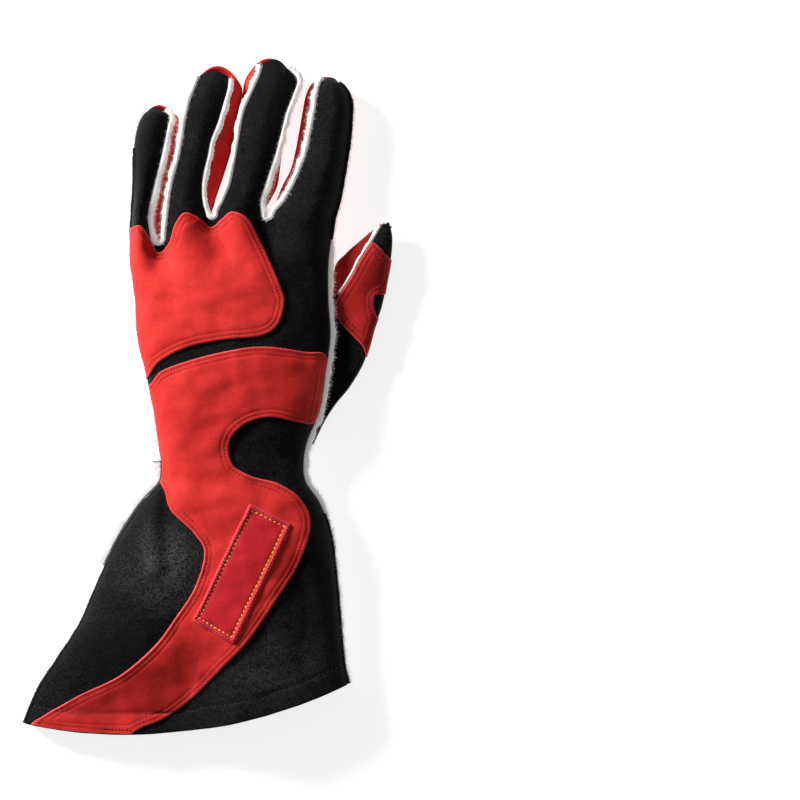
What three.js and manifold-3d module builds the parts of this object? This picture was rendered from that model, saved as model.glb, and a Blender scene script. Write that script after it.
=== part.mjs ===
// Racing glove for the left hand, lying palm down.
// Millimetres, +Z up, the fingertips point to +Y and the thumb to +X, the floor is z = 0.
import * as THREE from 'three';
import Module from 'manifold-3d';

const wasm = await Module();
wasm.setup();

// Named sizes
const KNIT_WALL = 1.7;
const SUEDE_WALL = 1.2;
const OVERLAY_WALL = 1.1;
const GAP = 0.32;
const BAND_THICK = 1.1;
const BAND_REACH = 2.7;
const PALM_Z = 1.55;
const PAD_THICK = 1.2;
const HAND_CURVE = 2.4;
const EDGE_ROUND = 10;
const FINGER_ROUND = 6;
const HAND_ROWS = 25;
const GATHER_HEIGHT = 1.3;
const HEM_EXTRA = 0.9;
const STRIP_THICK = 1.5;
const LABEL_REACH = 4.4;
const SEAM_STACK = BAND_THICK + 2 * GAP;

// Colours
const BLACK = 0x1b1b1e;
const RED = 0xb3161b;
const PAD_BLACK = 0x19191b;
const WHITE = 0xdcdad4;

// Hand and gauntlet, a row for each section from the finger roots to the hem.
// l and r are the points of the left and right seam, bow bends the row toward the hem,
// crown is the height of the back, sl and sr the heights of the seams, belly the underside.
const HAND = [
  { lx: -44.0, ly: 97, rx: 74.4, ry: 103, bow: 0, crown: 24, sl: 9, sr: 9.5, belly: 1.55 },
  { lx: -43.7, ly: 79, rx: 71.2, ry: 80, bow: 0, crown: 26, sl: 9, sr: 11, belly: 1.55 },
  { lx: -41.0, ly: 58, rx: 71.0, ry: 58, bow: 0, crown: 27, sl: 9, sr: 12, belly: 1.55 },
  { lx: -39.2, ly: 34, rx: 72.2, ry: 36, bow: 0, crown: 28, sl: 9, sr: 12, belly: 1.55 },
  { lx: -34.0, ly: 12, rx: 69.5, ry: 15, bow: 0, crown: 28, sl: 9, sr: 12, belly: 1.7 },
  { lx: -30.0, ly: -8, rx: 66.0, ry: -7, bow: 0, crown: 27, sl: 9, sr: 12, belly: 2.6 },
  { lx: -27.5, ly: -25, rx: 58.8, ry: -25, bow: 0, crown: 25, sl: 9, sr: 11, belly: 3.8 },
  { lx: -25.3, ly: -40, rx: 56.5, ry: -38, bow: 0, crown: 24, sl: 9, sr: 10, belly: 4.4 },
  { lx: -27.0, ly: -50, rx: 58.0, ry: -49, bow: 0, crown: 24, sl: 9, sr: 10, belly: 3.8 },
  { lx: -38.0, ly: -62, rx: 66.0, ry: -61, bow: 0, crown: 24.5, sl: 8.5, sr: 9.5, belly: 2.4 },
  { lx: -51.0, ly: -82, rx: 72.0, ry: -78, bow: -1, crown: 25.5, sl: 8, sr: 9, belly: 1.0 },
  { lx: -62.5, ly: -106, rx: 75.0, ry: -100, bow: -3, crown: 26.5, sl: 7.5, sr: 8.5, belly: 0.3 },
  { lx: -73.0, ly: -130, rx: 77.0, ry: -121, bow: -6, crown: 27, sl: 7, sr: 8, belly: 0 },
  { lx: -85.5, ly: -150, rx: 78.5, ry: -140, bow: -9, crown: 27.5, sl: 6.5, sr: 8, belly: 0 },
  { lx: -97.5, ly: -168, rx: 80.0, ry: -154, bow: -12, crown: 28, sl: 6, sr: 8, belly: 0 },
  { lx: -106.5, ly: -189, rx: 82.6, ry: -166, bow: -15, crown: 28.5, sl: 6, sr: 8, belly: 0 },
];

// Fingers, a row for each section from root to tip: y of the left and right edge, x of the black
// back strip's edges (tl, tr) and of the red palm side's edges (pl, pr).
const FINGERS = [
  {
    name: 'little', outer: 'left',
    base: { tl: [-44, 97], tr: [-32.2, 91.4], pl: [-43.7, 97], pr: [-23.6, 98] },
    rows: [
      { yl: 106, yr: 104, tl: -43.6, tr: -34, pl: -43.6, pr: -23.2 },
      { yl: 116, yr: 115, tl: -42.9, tr: -32.4, pl: -42.9, pr: -22.8 },
      { yl: 127, yr: 127, tl: -42.4, tr: -29.5, pl: -42.4, pr: -19.4 },
      { yl: 138, yr: 138, tl: -42.4, tr: -26.8, pl: -42.4, pr: -16.8 },
      { yl: 149, yr: 149, tl: -41.8, tr: -24.3, pl: -41.8, pr: -15.7 },
      { yl: 158, yr: 158, tl: -40, tr: -22.6, pl: -40, pr: -15.7 },
      { yl: 164, yr: 163.5, tl: -37.2, tr: -21.8, pl: -37.2, pr: -17 },
      { yl: 167.4, yr: 166.4, tl: -33.8, tr: -25.2, pl: -33.8, pr: -20.5 },
    ],
    tipBow: 1.6, palmBow: 3.4,
  },
  {
    name: 'ring', outer: 'none',
    base: { tl: [-23, 91.6], tr: [-0.2, 105.2], pl: [-18.8, 98.5], pr: [3.2, 102] },
    rows: [
      { yl: 105, yr: 113, tl: -21.8, tr: -2.2, pl: -16.7, pr: 4.2 },
      { yl: 116, yr: 121, tl: -20.6, tr: -2.8, pl: -14.8, pr: 6.6 },
      { yl: 127, yr: 130, tl: -18.6, tr: -2, pl: -12.5, pr: 9.7 },
      { yl: 138, yr: 140, tl: -15.5, tr: 0.4, pl: -10.2, pr: 12.8 },
      { yl: 149, yr: 150, tl: -13.3, tr: 2.5, pl: -8.6, pr: 15.7 },
      { yl: 160, yr: 160, tl: -11.6, tr: 6.4, pl: -7.6, pr: 18 },
      { yl: 171, yr: 171, tl: -9.3, tr: 9.6, pl: -6.9, pr: 20 },
      { yl: 181, yr: 180, tl: -5.8, tr: 12, pl: -6, pr: 20.3 },
      { yl: 187.6, yr: 186.4, tl: -3.4, tr: 12.6, pl: -3.4, pr: 17 },
    ],
    tipBow: 2.6, palmBow: 6,
  },
  {
    name: 'middle', outer: 'none',
    base: { tl: [7.3, 105.4], tr: [32, 105], pl: [10, 101.5], pr: [32.4, 107] },
    rows: [
      { yl: 114, yr: 114, tl: 10.4, tr: 31.2, pl: 12.6, pr: 36 },
      { yl: 123, yr: 123, tl: 14.2, tr: 33.8, pl: 14.4, pr: 40.6 },
      { yl: 133, yr: 133, tl: 16.4, tr: 37, pl: 15.4, pr: 42.3 },
      { yl: 144, yr: 144, tl: 18.4, tr: 40.6, pl: 18, pr: 43.5 },
      { yl: 155, yr: 155, tl: 20.2, tr: 43.4, pl: 19.2, pr: 45.6 },
      { yl: 166, yr: 166, tl: 22.4, tr: 46.2, pl: 20, pr: 48.8 },
      { yl: 176, yr: 176, tl: 26.6, tr: 50, pl: 20.9, pr: 51.6 },
      { yl: 186, yr: 185, tl: 31, tr: 52.4, pl: 22.8, pr: 52.2 },
      { yl: 194, yr: 191.6, tl: 33.4, tr: 46.6, pl: 28.6, pr: 46.8 },
    ],
    tipBow: 3.8, palmBow: 4.6,
  },
  {
    name: 'index', outer: 'right',
    base: { tl: [39.6, 104.8], tr: [74.4, 103], pl: [38.4, 107.5], pr: [74.4, 103] },
    rows: [
      { yl: 113, yr: 112, tl: 45.2, tr: 76.8, pl: 40, pr: 76.8 },
      { yl: 123, yr: 123, tl: 51, tr: 79.2, pl: 43.9, pr: 79.2 },
      { yl: 133, yr: 134, tl: 55.3, tr: 81, pl: 49, pr: 81 },
      { yl: 144, yr: 145, tl: 59.2, tr: 82.8, pl: 51.8, pr: 82.8 },
      { yl: 155, yr: 156, tl: 61.5, tr: 84, pl: 53.9, pr: 84 },
      { yl: 166, yr: 166, tl: 63.5, tr: 84.7, pl: 55.8, pr: 84.7 },
      { yl: 176, yr: 174.5, tl: 65, tr: 83.9, pl: 57.8, pr: 83.9 },
      { yl: 182.5, yr: 181, tl: 66.6, tr: 80.2, pl: 61, pr: 80.2 },
      { yl: 185.4, yr: 184.4, tl: 69, tr: 75.8, pl: 65, pr: 75.8 },
    ],
    tipBow: 1.2, palmBow: 1.8,
  },
];

// Bottoms of the three finger slots, in the back panel and in the palm.
const SLOTS = [
  { back: [-27.5, 88], palm: [-21.2, 94.5] },
  { back: [3.7, 102.8], palm: [6.6, 98.4] },
  { back: [35.6, 102.4], palm: [35.4, 103.2] },
];

// Heights over a finger, counted from the tip back: crown, strip edge, outer seam, underside, its edge.
const FINGER_HEIGHTS = [
  { crown: 11.4, edge: 10.6, seam: 9.6, belly: 7.2, rim: 7.6 },
  { crown: 16.6, edge: 12.2, seam: 9.4, belly: 1.7, rim: 5.0 },
  { crown: 19.2, edge: 13.6, seam: 9.2, belly: 0.7, rim: 4.7 },
  { crown: 20.2, edge: 14.4, seam: 9.0, belly: 0.4, rim: 4.5 },
  { crown: 20.6, edge: 14.6, seam: 9.0, belly: 0.4, rim: 4.4 },
  { crown: 21.0, edge: 14.8, seam: 9.0, belly: 0.6, rim: 4.4 },
  { crown: 21.4, edge: 15.0, seam: 9.0, belly: 1.0, rim: 4.4 },
  { crown: 22.0, edge: 15.4, seam: 9.0, belly: 1.4, rim: 4.4 },
  { crown: 22.6, edge: 16.0, seam: 9.0, belly: 1.55, rim: 4.4 },
];

// Soft folds of the gauntlet: both ends, depth and half width.
const BACK_FOLDS = [
  { x0: -20, y0: -58, x1: -22, y1: -98, depth: 2.2, wide: 7 },
  { x0: -30, y0: -128, x1: 22, y1: -150, depth: 1.6, wide: 9 },
  { x0: 52, y0: -96, x1: 60, y1: -150, depth: 1.5, wide: 9 },
  { x0: -18, y0: -46, x1: 34, y1: -52, depth: 1.2, wide: 7 },
];
const PALM_FOLDS = [
  { x0: 36, y0: -40, x1: 38, y1: -105, depth: -2.0, wide: 7 },
  { x0: -58, y0: -116, x1: -60, y1: -176, depth: -2.4, wide: 8 },
];

// Thumb, a row for each section from the wrist to the tip: a is the upper seam, s the outer
// silhouette, b the seam on the palm side, each with its height.
const THUMB_BACK = [
  { ax: 59, ay: -27.2, az: 8.4, sx: 62, sy: -27.2, sz: 6.5, bx: 30, by: -26.4, bz: 3.8 },
  { ax: 64, ay: -15, az: 9.2, sx: 69, sy: -13, sz: 7, bx: 38, by: -15.5, bz: 3.0 },
  { ax: 66.6, ay: -3.5, az: 9.6, sx: 76, sy: -2.5, sz: 7.5, bx: 40.5, by: -4, bz: 2.4 },
  { ax: 68.4, ay: 6, az: 10, sx: 83, sy: 6, sz: 8, bx: 44, by: 6.5, bz: 1.9 },
  { ax: 70.2, ay: 17.5, az: 10, sx: 90.5, sy: 18.5, sz: 8, bx: 50.5, by: 18.5, bz: 1.6 },
  { ax: 71.8, ay: 29, az: 10, sx: 94.5, sy: 29.5, sz: 8, bx: 59, by: 30.5, bz: 1.5 },
  { ax: 72.4, ay: 40.5, az: 10, sx: 97.5, sy: 40.5, sz: 8, bx: 68.5, by: 41, bz: 1.5 },
  { ax: 72.4, ay: 49, az: 10.2, sx: 101, sy: 50, sz: 8, bx: 77, by: 49.5, bz: 1.5 },
  { ax: 74.2, ay: 55.4, az: 11.2, sx: 103, sy: 57.5, sz: 8, bx: 84, by: 56, bz: 1.5 },
  { ax: 78, ay: 61, az: 14.4, sx: 104.8, sy: 67.5, sz: 8.2, bx: 91, by: 66, bz: 1.6 },
  { ax: 84.4, ay: 70.5, az: 16.6, sx: 106.6, sy: 77, sz: 8.6, bx: 96.4, by: 76.5, bz: 1.8 },
  { ax: 90.6, ay: 82, az: 17.4, sx: 107.8, sy: 86, sz: 9, bx: 100.6, by: 87, bz: 2.4 },
  { ax: 96.5, ay: 90.5, az: 15.8, sx: 108, sy: 94, sz: 9.2, bx: 103, by: 94.5, bz: 4.4 },
  { ax: 101.8, ay: 99, az: 11.8, sx: 106.8, sy: 99.6, sz: 9.4, bx: 104.6, by: 99.2, bz: 7.8 },
];

// Inner face of the thumb with its gusset: g is the seam to the palm, then the upper seam,
// m the middle of the face, b the seam to the thumb's back.
const THUMB_INNER = [
  { gx: 33.5, gy: -15.5, gz: 3.0, mx: 35.8, my: -15.5, mz: 3.0, bx: 38, by: -15.5, bz: 3.0 },
  { gx: 31.5, gy: -3, gz: 2.4, mx: 36, my: -3.4, mz: 2.4, bx: 40.5, by: -4, bz: 2.4 },
  { gx: 28.5, gy: 11, gz: 1.8, mx: 36.2, my: 9, mz: 1.7, bx: 44, by: 6.5, bz: 1.9 },
  { gx: 26, gy: 25, gz: 1.6, mx: 38.5, my: 22, mz: 1.5, bx: 50.5, by: 18.5, bz: 1.6 },
  { gx: 25, gy: 38, gz: 1.5, mx: 42.5, my: 34.5, mz: 1.5, bx: 59, by: 30.5, bz: 1.5 },
  { gx: 27, gy: 50.5, gz: 1.5, mx: 48.5, my: 46, mz: 1.5, bx: 68.5, by: 41, bz: 1.5 },
  { gx: 33.5, gy: 57.5, gz: 1.5, mx: 54.5, my: 52, mz: 1.5, bx: 77, by: 49.5, bz: 1.5 },
  { gx: 44.5, gy: 60, gz: 1.6, mx: 62, my: 54, mz: 1.5, bx: 84, by: 56, bz: 1.5 },
  { gx: 58, gy: 59, gz: 2.4, mx: 73.4, my: 60, mz: 2.2, bx: 91, by: 66, bz: 1.6 },
  { gx: 72, gy: 57, gz: 8.2, mx: 74.4, my: 76, mz: 5.6, bx: 96.4, by: 76.5, bz: 1.8 },
  { gx: 83, gy: 70.5, gz: 12.6, mx: 80.8, my: 84, mz: 7.6, bx: 100.6, by: 87, bz: 2.4 },
  { gx: 89.6, gy: 82, gz: 13.6, mx: 90, my: 92.2, mz: 8.6, bx: 103, by: 94.5, bz: 4.4 },
  { gx: 95.5, gy: 90.6, gz: 12.0, mx: 96.6, my: 97.6, mz: 9, bx: 104, by: 98, bz: 6.6 },
  { gx: 100, gy: 98, gz: 8.7, mx: 101, my: 100, mz: 8.6, bx: 104, by: 99.6, bz: 8.2 },
];

// Outlines of the pieces laid on, each smoothed through its points.
const KNUCKLE_OUTLINE = [
  [-50, 98.6], [-43, 98.6], [-37.7, 99.4], [-33.4, 92.6], [-27.4, 84.4], [-20.9, 89.4], [-17.4, 100],
  [-12.2, 107.2], [-4.6, 104.4], [2.8, 99], [9.3, 103.2], [15.7, 107.8], [24.4, 103.6], [30.2, 92.8],
  [38.3, 76], [44, 62.6], [45.6, 55], [42.3, 42.9], [32.5, 36], [11, 33.6], [-9.3, 29.6],
  [-25.5, 21.5], [-33.1, 12.4], [-42, 4], [-50, 20],
];
const WRIST_OUTLINE = [
  [-40, 2], [-31.3, 8.6], [-24.9, 15.7], [-9.3, 21.5], [13.9, 27.3], [34.2, 29.6], [57.4, 26.7],
  [68.6, 25], [67.6, 10.4], [64.2, -9], [61, -14.6], [54.5, -13.9], [37.1, -11], [22.6, -15.1],
  [13.9, -25.5], [15.7, -37.7], [25.5, -44.7], [42.9, -49.9], [55.7, -59.7], [60.3, -73.7],
  [54.5, -94], [43.5, -112.5], [25.5, -139.2], [11, -154.9], [-6.4, -172.8], [-23.8, -185.6],
  [-40, -192.6], [-60, -206], [-100, -206], [-103, -192], [-93.4, -183.9], [-73.1, -172.3],
  [-49.9, -160.7], [-29.6, -143.3], [-17.4, -127], [-6.4, -110.2], [-0.5, -90], [-6.4, -78.3],
  [-19.7, -65], [-24.6, -52], [-34, -40], [-40, -20],
];
const THUMB_PATCH_OUTLINE = [
  [75.8, 47.6], [80.6, 40.8], [86.4, 34.8], [91, 29.6], [94, 22], [104, 20], [108, 44],
  [99.6, 46.2], [97.4, 52.4], [97.2, 56], [98.4, 60], [103.6, 60.4], [114, 62], [114, 80],
  [107, 80.2], [101, 87], [95.8, 90.4], [91, 86], [80, 72], [75, 60],
];
const LABEL_CORNERS = [[25.5, -60.9], [49.9, -73.1], [16.8, -142.1], [-7, -128.2]];
const PAD_OUTLINE = [
  [-38.6, 88], [-37.2, 97], [-33, 102.6], [-29, 103.6], [-24, 98.6], [-18.6, 93.4], [-14, 93.2],
  [-10.6, 99.4], [-7.6, 105], [-3.8, 107.4], [0, 104.6], [4, 96.4], [8.5, 94], [13, 97.4], [17, 104.6],
  [22, 107.4], [28, 101], [35, 95.6], [41, 97.4], [48, 103.6], [55, 105], [59, 98], [60.4, 84],
  [58, 69.6], [50, 66.8], [36, 65], [27.5, 63], [21.4, 58.6], [18.6, 51], [17.4, 40], [16.4, 28],
  [15, 16], [13, 7], [9, 2.4], [2, 0.4], [-6, 0.2], [-14.6, 2.6], [-21.6, 7.4], [-25.8, 13.4],
  [-30.6, 22], [-33.6, 33], [-35.4, 48], [-36.8, 62], [-38.4, 76],
];

// Small numeric helpers
function mix(a, b, t) {
  return a + (b - a) * t;
}

function smoothstep(t) {
  const c = Math.min(1, Math.max(0, t));
  return c * c * (3 - 2 * c);
}

// One row of a table at a fractional place, every column run through a smooth curve.
function rowAt(table, place) {
  const last = table.length - 1;
  const i = Math.min(last - 1, Math.max(0, Math.floor(place)));
  const t = place - i;
  const out = {};
  for (const key of Object.keys(table[0])) {
    const p1 = table[i][key];
    const p2 = table[i + 1][key];
    const p0 = i > 0 ? table[i - 1][key] : 2 * p1 - p2;
    const p3 = i + 2 <= last ? table[i + 2][key] : 2 * p2 - p1;
    const a = 2 * p1;
    const b = p2 - p0;
    const c = 2 * p0 - 5 * p1 + 4 * p2 - p3;
    const d = 3 * p1 - p0 - 3 * p2 + p3;
    out[key] = 0.5 * (a + b * t + c * t * t + d * t * t * t);
  }
  return out;
}

// A value of a table where its column `key` has the wanted size; that column falls along the table.
function lookUp(table, key, wanted, column) {
  if (wanted >= table[0][key]) {
    return table[0][column];
  }
  for (let i = 1; i < table.length; i += 1) {
    if (wanted >= table[i][key]) {
      const t = (table[i - 1][key] - wanted) / (table[i - 1][key] - table[i][key]);
      return mix(table[i - 1][column], table[i][column], t);
    }
  }
  return table[table.length - 1][column];
}

// How far a point sinks in the folds of a list.
function foldDepth(folds, x, y) {
  let sum = 0;
  for (const fold of folds) {
    const dx = fold.x1 - fold.x0;
    const dy = fold.y1 - fold.y0;
    const along = ((x - fold.x0) * dx + (y - fold.y0) * dy) / (dx * dx + dy * dy);
    const t = Math.min(1, Math.max(0, along));
    const away = Math.hypot(x - fold.x0 - dx * t, y - fold.y0 - dy * t);
    sum += fold.depth * Math.exp(-((away / fold.wide) ** 2));
  }
  return sum;
}

// A sheet is a list of surface points and four-cornered cells; thicken gives it walls.
// Edge kinds: 0 free, 1 the wall ends level, 2 the wall ends upright.
function newSheet() {
  return { points: [], kinds: [], extras: [], cells: [] };
}

function addPoint(sheet, x, y, z, kind = 0, extra = 0) {
  sheet.points.push(new THREE.Vector3(x, y, z));
  sheet.kinds.push(kind);
  sheet.extras.push(extra);
  return sheet.points.length - 1;
}

function sheetNormals(sheet) {
  const normals = sheet.points.map(() => new THREE.Vector3());
  for (const cell of sheet.cells) {
    const [a, b, c, d] = cell.map((index) => sheet.points[index]);
    const across = new THREE.Vector3().subVectors(c, a);
    const other = new THREE.Vector3().subVectors(d, b);
    const face = across.cross(other).normalize();
    for (const index of cell) {
      normals[index].add(face);
    }
  }
  normals.forEach((normal, index) => {
    normal.normalize();
    if (sheet.kinds[index] === 1) {
      normal.z = 0;
      normal.normalize();
    }
    if (sheet.kinds[index] === 2) {
      normal.set(0, 0, Math.sign(normal.z) || 1);
    }
  });
  return normals;
}

function thicken(sheet, inner, outer) {
  const normals = sheetNormals(sheet);
  const count = sheet.points.length;
  const positions = [];
  for (const [offset, isInner] of [[outer, false], [inner, true]]) {
    sheet.points.forEach((point, index) => {
      const reach = isInner ? offset - sheet.extras[index] : offset;
      const moved = point.clone().addScaledVector(normals[index], reach);
      positions.push(moved.x, moved.y, moved.z);
    });
  }
  const triangles = [];
  const edges = new Map();
  for (const [a, b, c, d] of sheet.cells) {
    triangles.push(a, b, c, a, c, d);
    triangles.push(a + count, c + count, b + count, a + count, d + count, c + count);
    for (const [p, q] of [[a, b], [b, c], [c, d], [d, a]]) {
      edges.set(`${p}_${q}`, [p, q]);
    }
  }
  for (const [p, q] of edges.values()) {
    if (!edges.has(`${q}_${p}`)) {
      triangles.push(q, p, p + count, q, p + count, q + count);
    }
  }
  return solid(positions, triangles);
}

function solid(positions, triangles) {
  const geometry = new THREE.BufferGeometry();
  geometry.setAttribute('position', new THREE.Float32BufferAttribute(positions, 3));
  geometry.setIndex(triangles);
  return geometry;
}

function toManifold(geometry) {
  const mesh = new wasm.Mesh({
    numProp: 3,
    vertProperties: new Float32Array(geometry.attributes.position.array),
    triVerts: new Uint32Array(geometry.index.array),
  });
  mesh.merge();
  return new wasm.Manifold(mesh);
}

function fromManifold(body) {
  const mesh = body.getMesh();
  return solid(Array.from(mesh.vertProperties), Array.from(mesh.triVerts));
}

// An upright prism over a closed outline.
function prism(outline, bottom, top) {
  let area = 0;
  outline.forEach(([x, y], index) => {
    const [nx, ny] = outline[(index + 1) % outline.length];
    area += x * ny - nx * y;
  });
  const ring = area > 0 ? outline : outline.slice().reverse();
  const count = ring.length;
  const ends = THREE.ShapeUtils.triangulateShape(ring.map(([x, y]) => new THREE.Vector2(x, y)), []);
  const positions = [];
  for (const z of [bottom, top]) {
    ring.forEach(([x, y]) => positions.push(x, y, z));
  }
  const triangles = [];
  for (const [a, b, c] of ends) {
    triangles.push(a, c, b, a + count, b + count, c + count);
  }
  for (let i = 0; i < count; i += 1) {
    const j = (i + 1) % count;
    triangles.push(i, j, j + count, i, j + count, i + count);
  }
  return solid(positions, triangles);
}

// A closed outline smoothed through its points, `steps` pieces to each span.
function smoothOutline(points, steps) {
  const out = [];
  const count = points.length;
  for (let i = 0; i < count; i += 1) {
    const p0 = points[(i + count - 1) % count];
    const p1 = points[i];
    const p2 = points[(i + 1) % count];
    const p3 = points[(i + 2) % count];
    for (let s = 0; s < steps; s += 1) {
      const t = s / steps;
      const at = (k) => 0.5 * (2 * p1[k] + (p2[k] - p0[k]) * t
        + (2 * p0[k] - 5 * p1[k] + 4 * p2[k] - p3[k]) * t * t
        + (3 * p1[k] - p0[k] - 3 * p2[k] + p3[k]) * t * t * t);
      out.push([at(0), at(1)]);
    }
  }
  return out;
}

// A strip that follows a path: `side` is +1 to the left of travel, -1 to the right.
function band(path, side, from, to, thick) {
  const positions = [];
  const count = path.length;
  path.forEach((point, index) => {
    const before = path[Math.max(0, index - 1)];
    const after = path[Math.min(count - 1, index + 1)];
    const dx = after.x - before.x;
    const dy = after.y - before.y;
    const size = Math.hypot(dx, dy) || 1;
    const nx = (-dy / size) * side;
    const ny = (dx / size) * side;
    const near = point.from === undefined ? from : point.from;
    const far = point.to === undefined ? to : point.to;
    const low = point.z - thick;
    for (const [a, z] of [[near, point.z], [far, point.z], [far, low], [near, low]]) {
      positions.push(point.x + nx * a, point.y + ny * a, z);
    }
  });
  const triangles = [];
  for (let i = 0; i + 1 < count; i += 1) {
    for (let k = 0; k < 4; k += 1) {
      const a = i * 4 + k;
      const b = i * 4 + ((k + 1) % 4);
      const c = b + 4;
      const d = a + 4;
      triangles.push(a, c, b, a, d, c);
    }
  }
  const e = (count - 1) * 4;
  triangles.push(0, 1, 2, 0, 2, 3);
  triangles.push(e, e + 2, e + 1, e, e + 3, e + 2);
  if (side < 0) {
    for (let i = 0; i < triangles.length; i += 3) {
      [triangles[i + 1], triangles[i + 2]] = [triangles[i + 2], triangles[i + 1]];
    }
  }
  return solid(positions, triangles);
}

// Shares across a finger; the cell at an outer seam is the narrow one.
function fingerShares(finger) {
  if (finger.outer === 'left') {
    return [0, 0.14, 0.42, 0.72, 1];
  }
  if (finger.outer === 'right') {
    return [0, 0.28, 0.58, 0.86, 1];
  }
  return [0, 0.33, 0.67, 1];
}

function fingerHeights(finger, row) {
  const fromTip = finger.rows.length - 1 - row;
  return FINGER_HEIGHTS[Math.min(fromTip, FINGER_HEIGHTS.length - 1)];
}

// Height of a finger's back at a share across it.
function fingerBackZ(finger, share, heights) {
  const lift = Math.sin(Math.PI * share);
  const low = (finger.outer === 'left' && share < 0.5) || (finger.outer === 'right' && share > 0.5);
  if (low) {
    return heights.seam + (heights.crown - heights.seam) * lift ** 0.62;
  }
  return heights.edge + (heights.crown - heights.edge) * lift ** 0.85;
}

// Height of a finger's underside, round at its edges.
function fingerPalmZ(finger, share, heights, width) {
  const distLeft = share * width;
  const distRight = (1 - share) * width;
  const rimLeft = finger.outer === 'left' ? heights.seam - SEAM_STACK : heights.rim;
  const rimRight = finger.outer === 'right' ? heights.seam - SEAM_STACK : heights.rim;
  const round = (dist, rim) => {
    const t = Math.min(1, dist / FINGER_ROUND);
    return (rim - heights.belly) * (1 - Math.sqrt(1 - (1 - t) ** 2));
  };
  return heights.belly + round(distLeft, rimLeft) + round(distRight, rimRight);
}

// The row of points at the finger roots: 21 columns with the slot bottoms between the fingers.
function rootRow(side) {
  const row = [];
  FINGERS.forEach((finger, index) => {
    const left = side === 'back' ? finger.base.tl : finger.base.pl;
    const right = side === 'back' ? finger.base.tr : finger.base.pr;
    for (const share of fingerShares(finger)) {
      row.push({ x: mix(left[0], right[0], share), y: mix(left[1], right[1], share), finger: index, share });
    }
    if (index < 3) {
      const [x, y] = SLOTS[index][side];
      row.push({ x, y, finger: -1, share: index });
    }
  });
  return row;
}

const ROOTS = { back: rootRow('back'), palm: rootRow('palm') };
const COLUMNS = ROOTS.back.length;

// Even shares across the hand, closer together at both seams.
function handShare(column) {
  const t = column / (COLUMNS - 1);
  return mix(t, (1 - Math.cos(Math.PI * t)) / 2, 0.55);
}

function handBackZ(row, u) {
  const seam = u < 0.5 ? row.sl : row.sr;
  const arch = Math.max(0, 1 - Math.abs(2 * u - 1) ** HAND_CURVE) ** (1 / HAND_CURVE);
  return seam + (row.crown - seam) * arch;
}

// Back of hand, finger backs and back of the gauntlet as one sheet.
function backSheet() {
  const sheet = newSheet();
  const grid = [];
  const first = HAND[0];
  for (let r = 0; r <= HAND_ROWS; r += 1) {
    const place = (r / HAND_ROWS) * (HAND.length - 1);
    const row = rowAt(HAND, place);
    const blend = smoothstep(place / 1.9);
    const line = [];
    for (let k = 0; k < COLUMNS; k += 1) {
      const root = ROOTS.back[k];
      const rootU = (root.x - first.lx) / (first.rx - first.lx);
      const u = mix(rootU, handShare(k), blend);
      const drop = (root.y - mix(first.ly, first.ry, rootU)) * (1 - blend);
      const x = mix(row.lx, row.rx, u);
      const y = mix(row.ly, row.ry, u) + drop + row.bow * 4 * u * (1 - u);
      const heights = { crown: 22.8, edge: 16.2, seam: u < 0.5 ? row.sl : row.sr };
      const fingerZ = root.finger < 0 ? 15.6 : fingerBackZ(FINGERS[root.finger], root.share, heights);
      const edge = Math.min(1, Math.min(u, 1 - u) * 8);
      const z = mix(fingerZ, handBackZ(row, u), blend) - foldDepth(BACK_FOLDS, x, y) * edge;
      const side = k === 0 || k === COLUMNS - 1;
      const slotEdge = r === 0 && (root.finger < 0 || root.share === 0 || root.share === 1);
      const kind = side ? 1 : (slotEdge ? 2 : 0);
      const hem = r >= HAND_ROWS - 1 ? HEM_EXTRA : 0;
      line.push(addPoint(sheet, x, y, z, kind, side ? 0 : hem));
    }
    grid.push(line);
  }
  for (let r = 0; r < HAND_ROWS; r += 1) {
    for (let k = 0; k + 1 < COLUMNS; k += 1) {
      sheet.cells.push([grid[r][k], grid[r + 1][k], grid[r + 1][k + 1], grid[r][k + 1]]);
    }
  }
  const edges = addFingers(sheet, grid[0], 'back');
  return { sheet, grid, edges };
}

// Finger rows on a root row; returns for each finger the points of its left and right edge.
function addFingers(sheet, rootLine, side) {
  const edges = [];
  let column = 0;
  FINGERS.forEach((finger) => {
    const shares = fingerShares(finger);
    let line = shares.map((share, k) => rootLine[column + k]);
    const edge = { left: [line[0]], right: [line[line.length - 1]] };
    finger.rows.forEach((row, index) => {
      const heights = fingerHeights(finger, index);
      const last = index === finger.rows.length - 1;
      const before = index === finger.rows.length - 2;
      const xl = side === 'back' ? row.tl : row.pl;
      const xr = side === 'back' ? row.tr : row.pr;
      let bow = 0;
      if (last) {
        bow = side === 'back' ? finger.tipBow : finger.palmBow;
      } else if (before) {
        bow = (side === 'back' ? finger.tipBow : finger.palmBow) * 0.5;
      }
      const next = shares.map((share, k) => {
        const x = mix(xl, xr, share);
        const y = mix(row.yl, row.yr, share) + bow * 4 * share * (1 - share);
        const z = side === 'back' ? fingerBackZ(finger, share, heights)
          : fingerPalmZ(finger, share, heights, xr - xl);
        const atLeft = k === 0;
        const atRight = k === shares.length - 1;
        let kind = 0;
        if ((atLeft && finger.outer === 'left') || (atRight && finger.outer === 'right')) {
          kind = 1;
        } else if (atLeft || atRight || last) {
          kind = 2;
        }
        return addPoint(sheet, x, y, z, kind);
      });
      for (let k = 0; k + 1 < shares.length; k += 1) {
        const cell = [line[k], line[k + 1], next[k + 1], next[k]];
        sheet.cells.push(side === 'back' ? cell : cell.reverse());
      }
      edge.left.push(next[0]);
      edge.right.push(next[next.length - 1]);
      line = next;
    });
    edges.push(edge);
    column += shares.length + 1;
  });
  return edges;
}

// Underside height at a distance from a seam edge.
function palmRise(dist, rim, belly) {
  const t = Math.min(1, Math.max(0, dist / EDGE_ROUND));
  return (rim - belly) * (1 - Math.sqrt(1 - (1 - t) ** 2));
}

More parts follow.
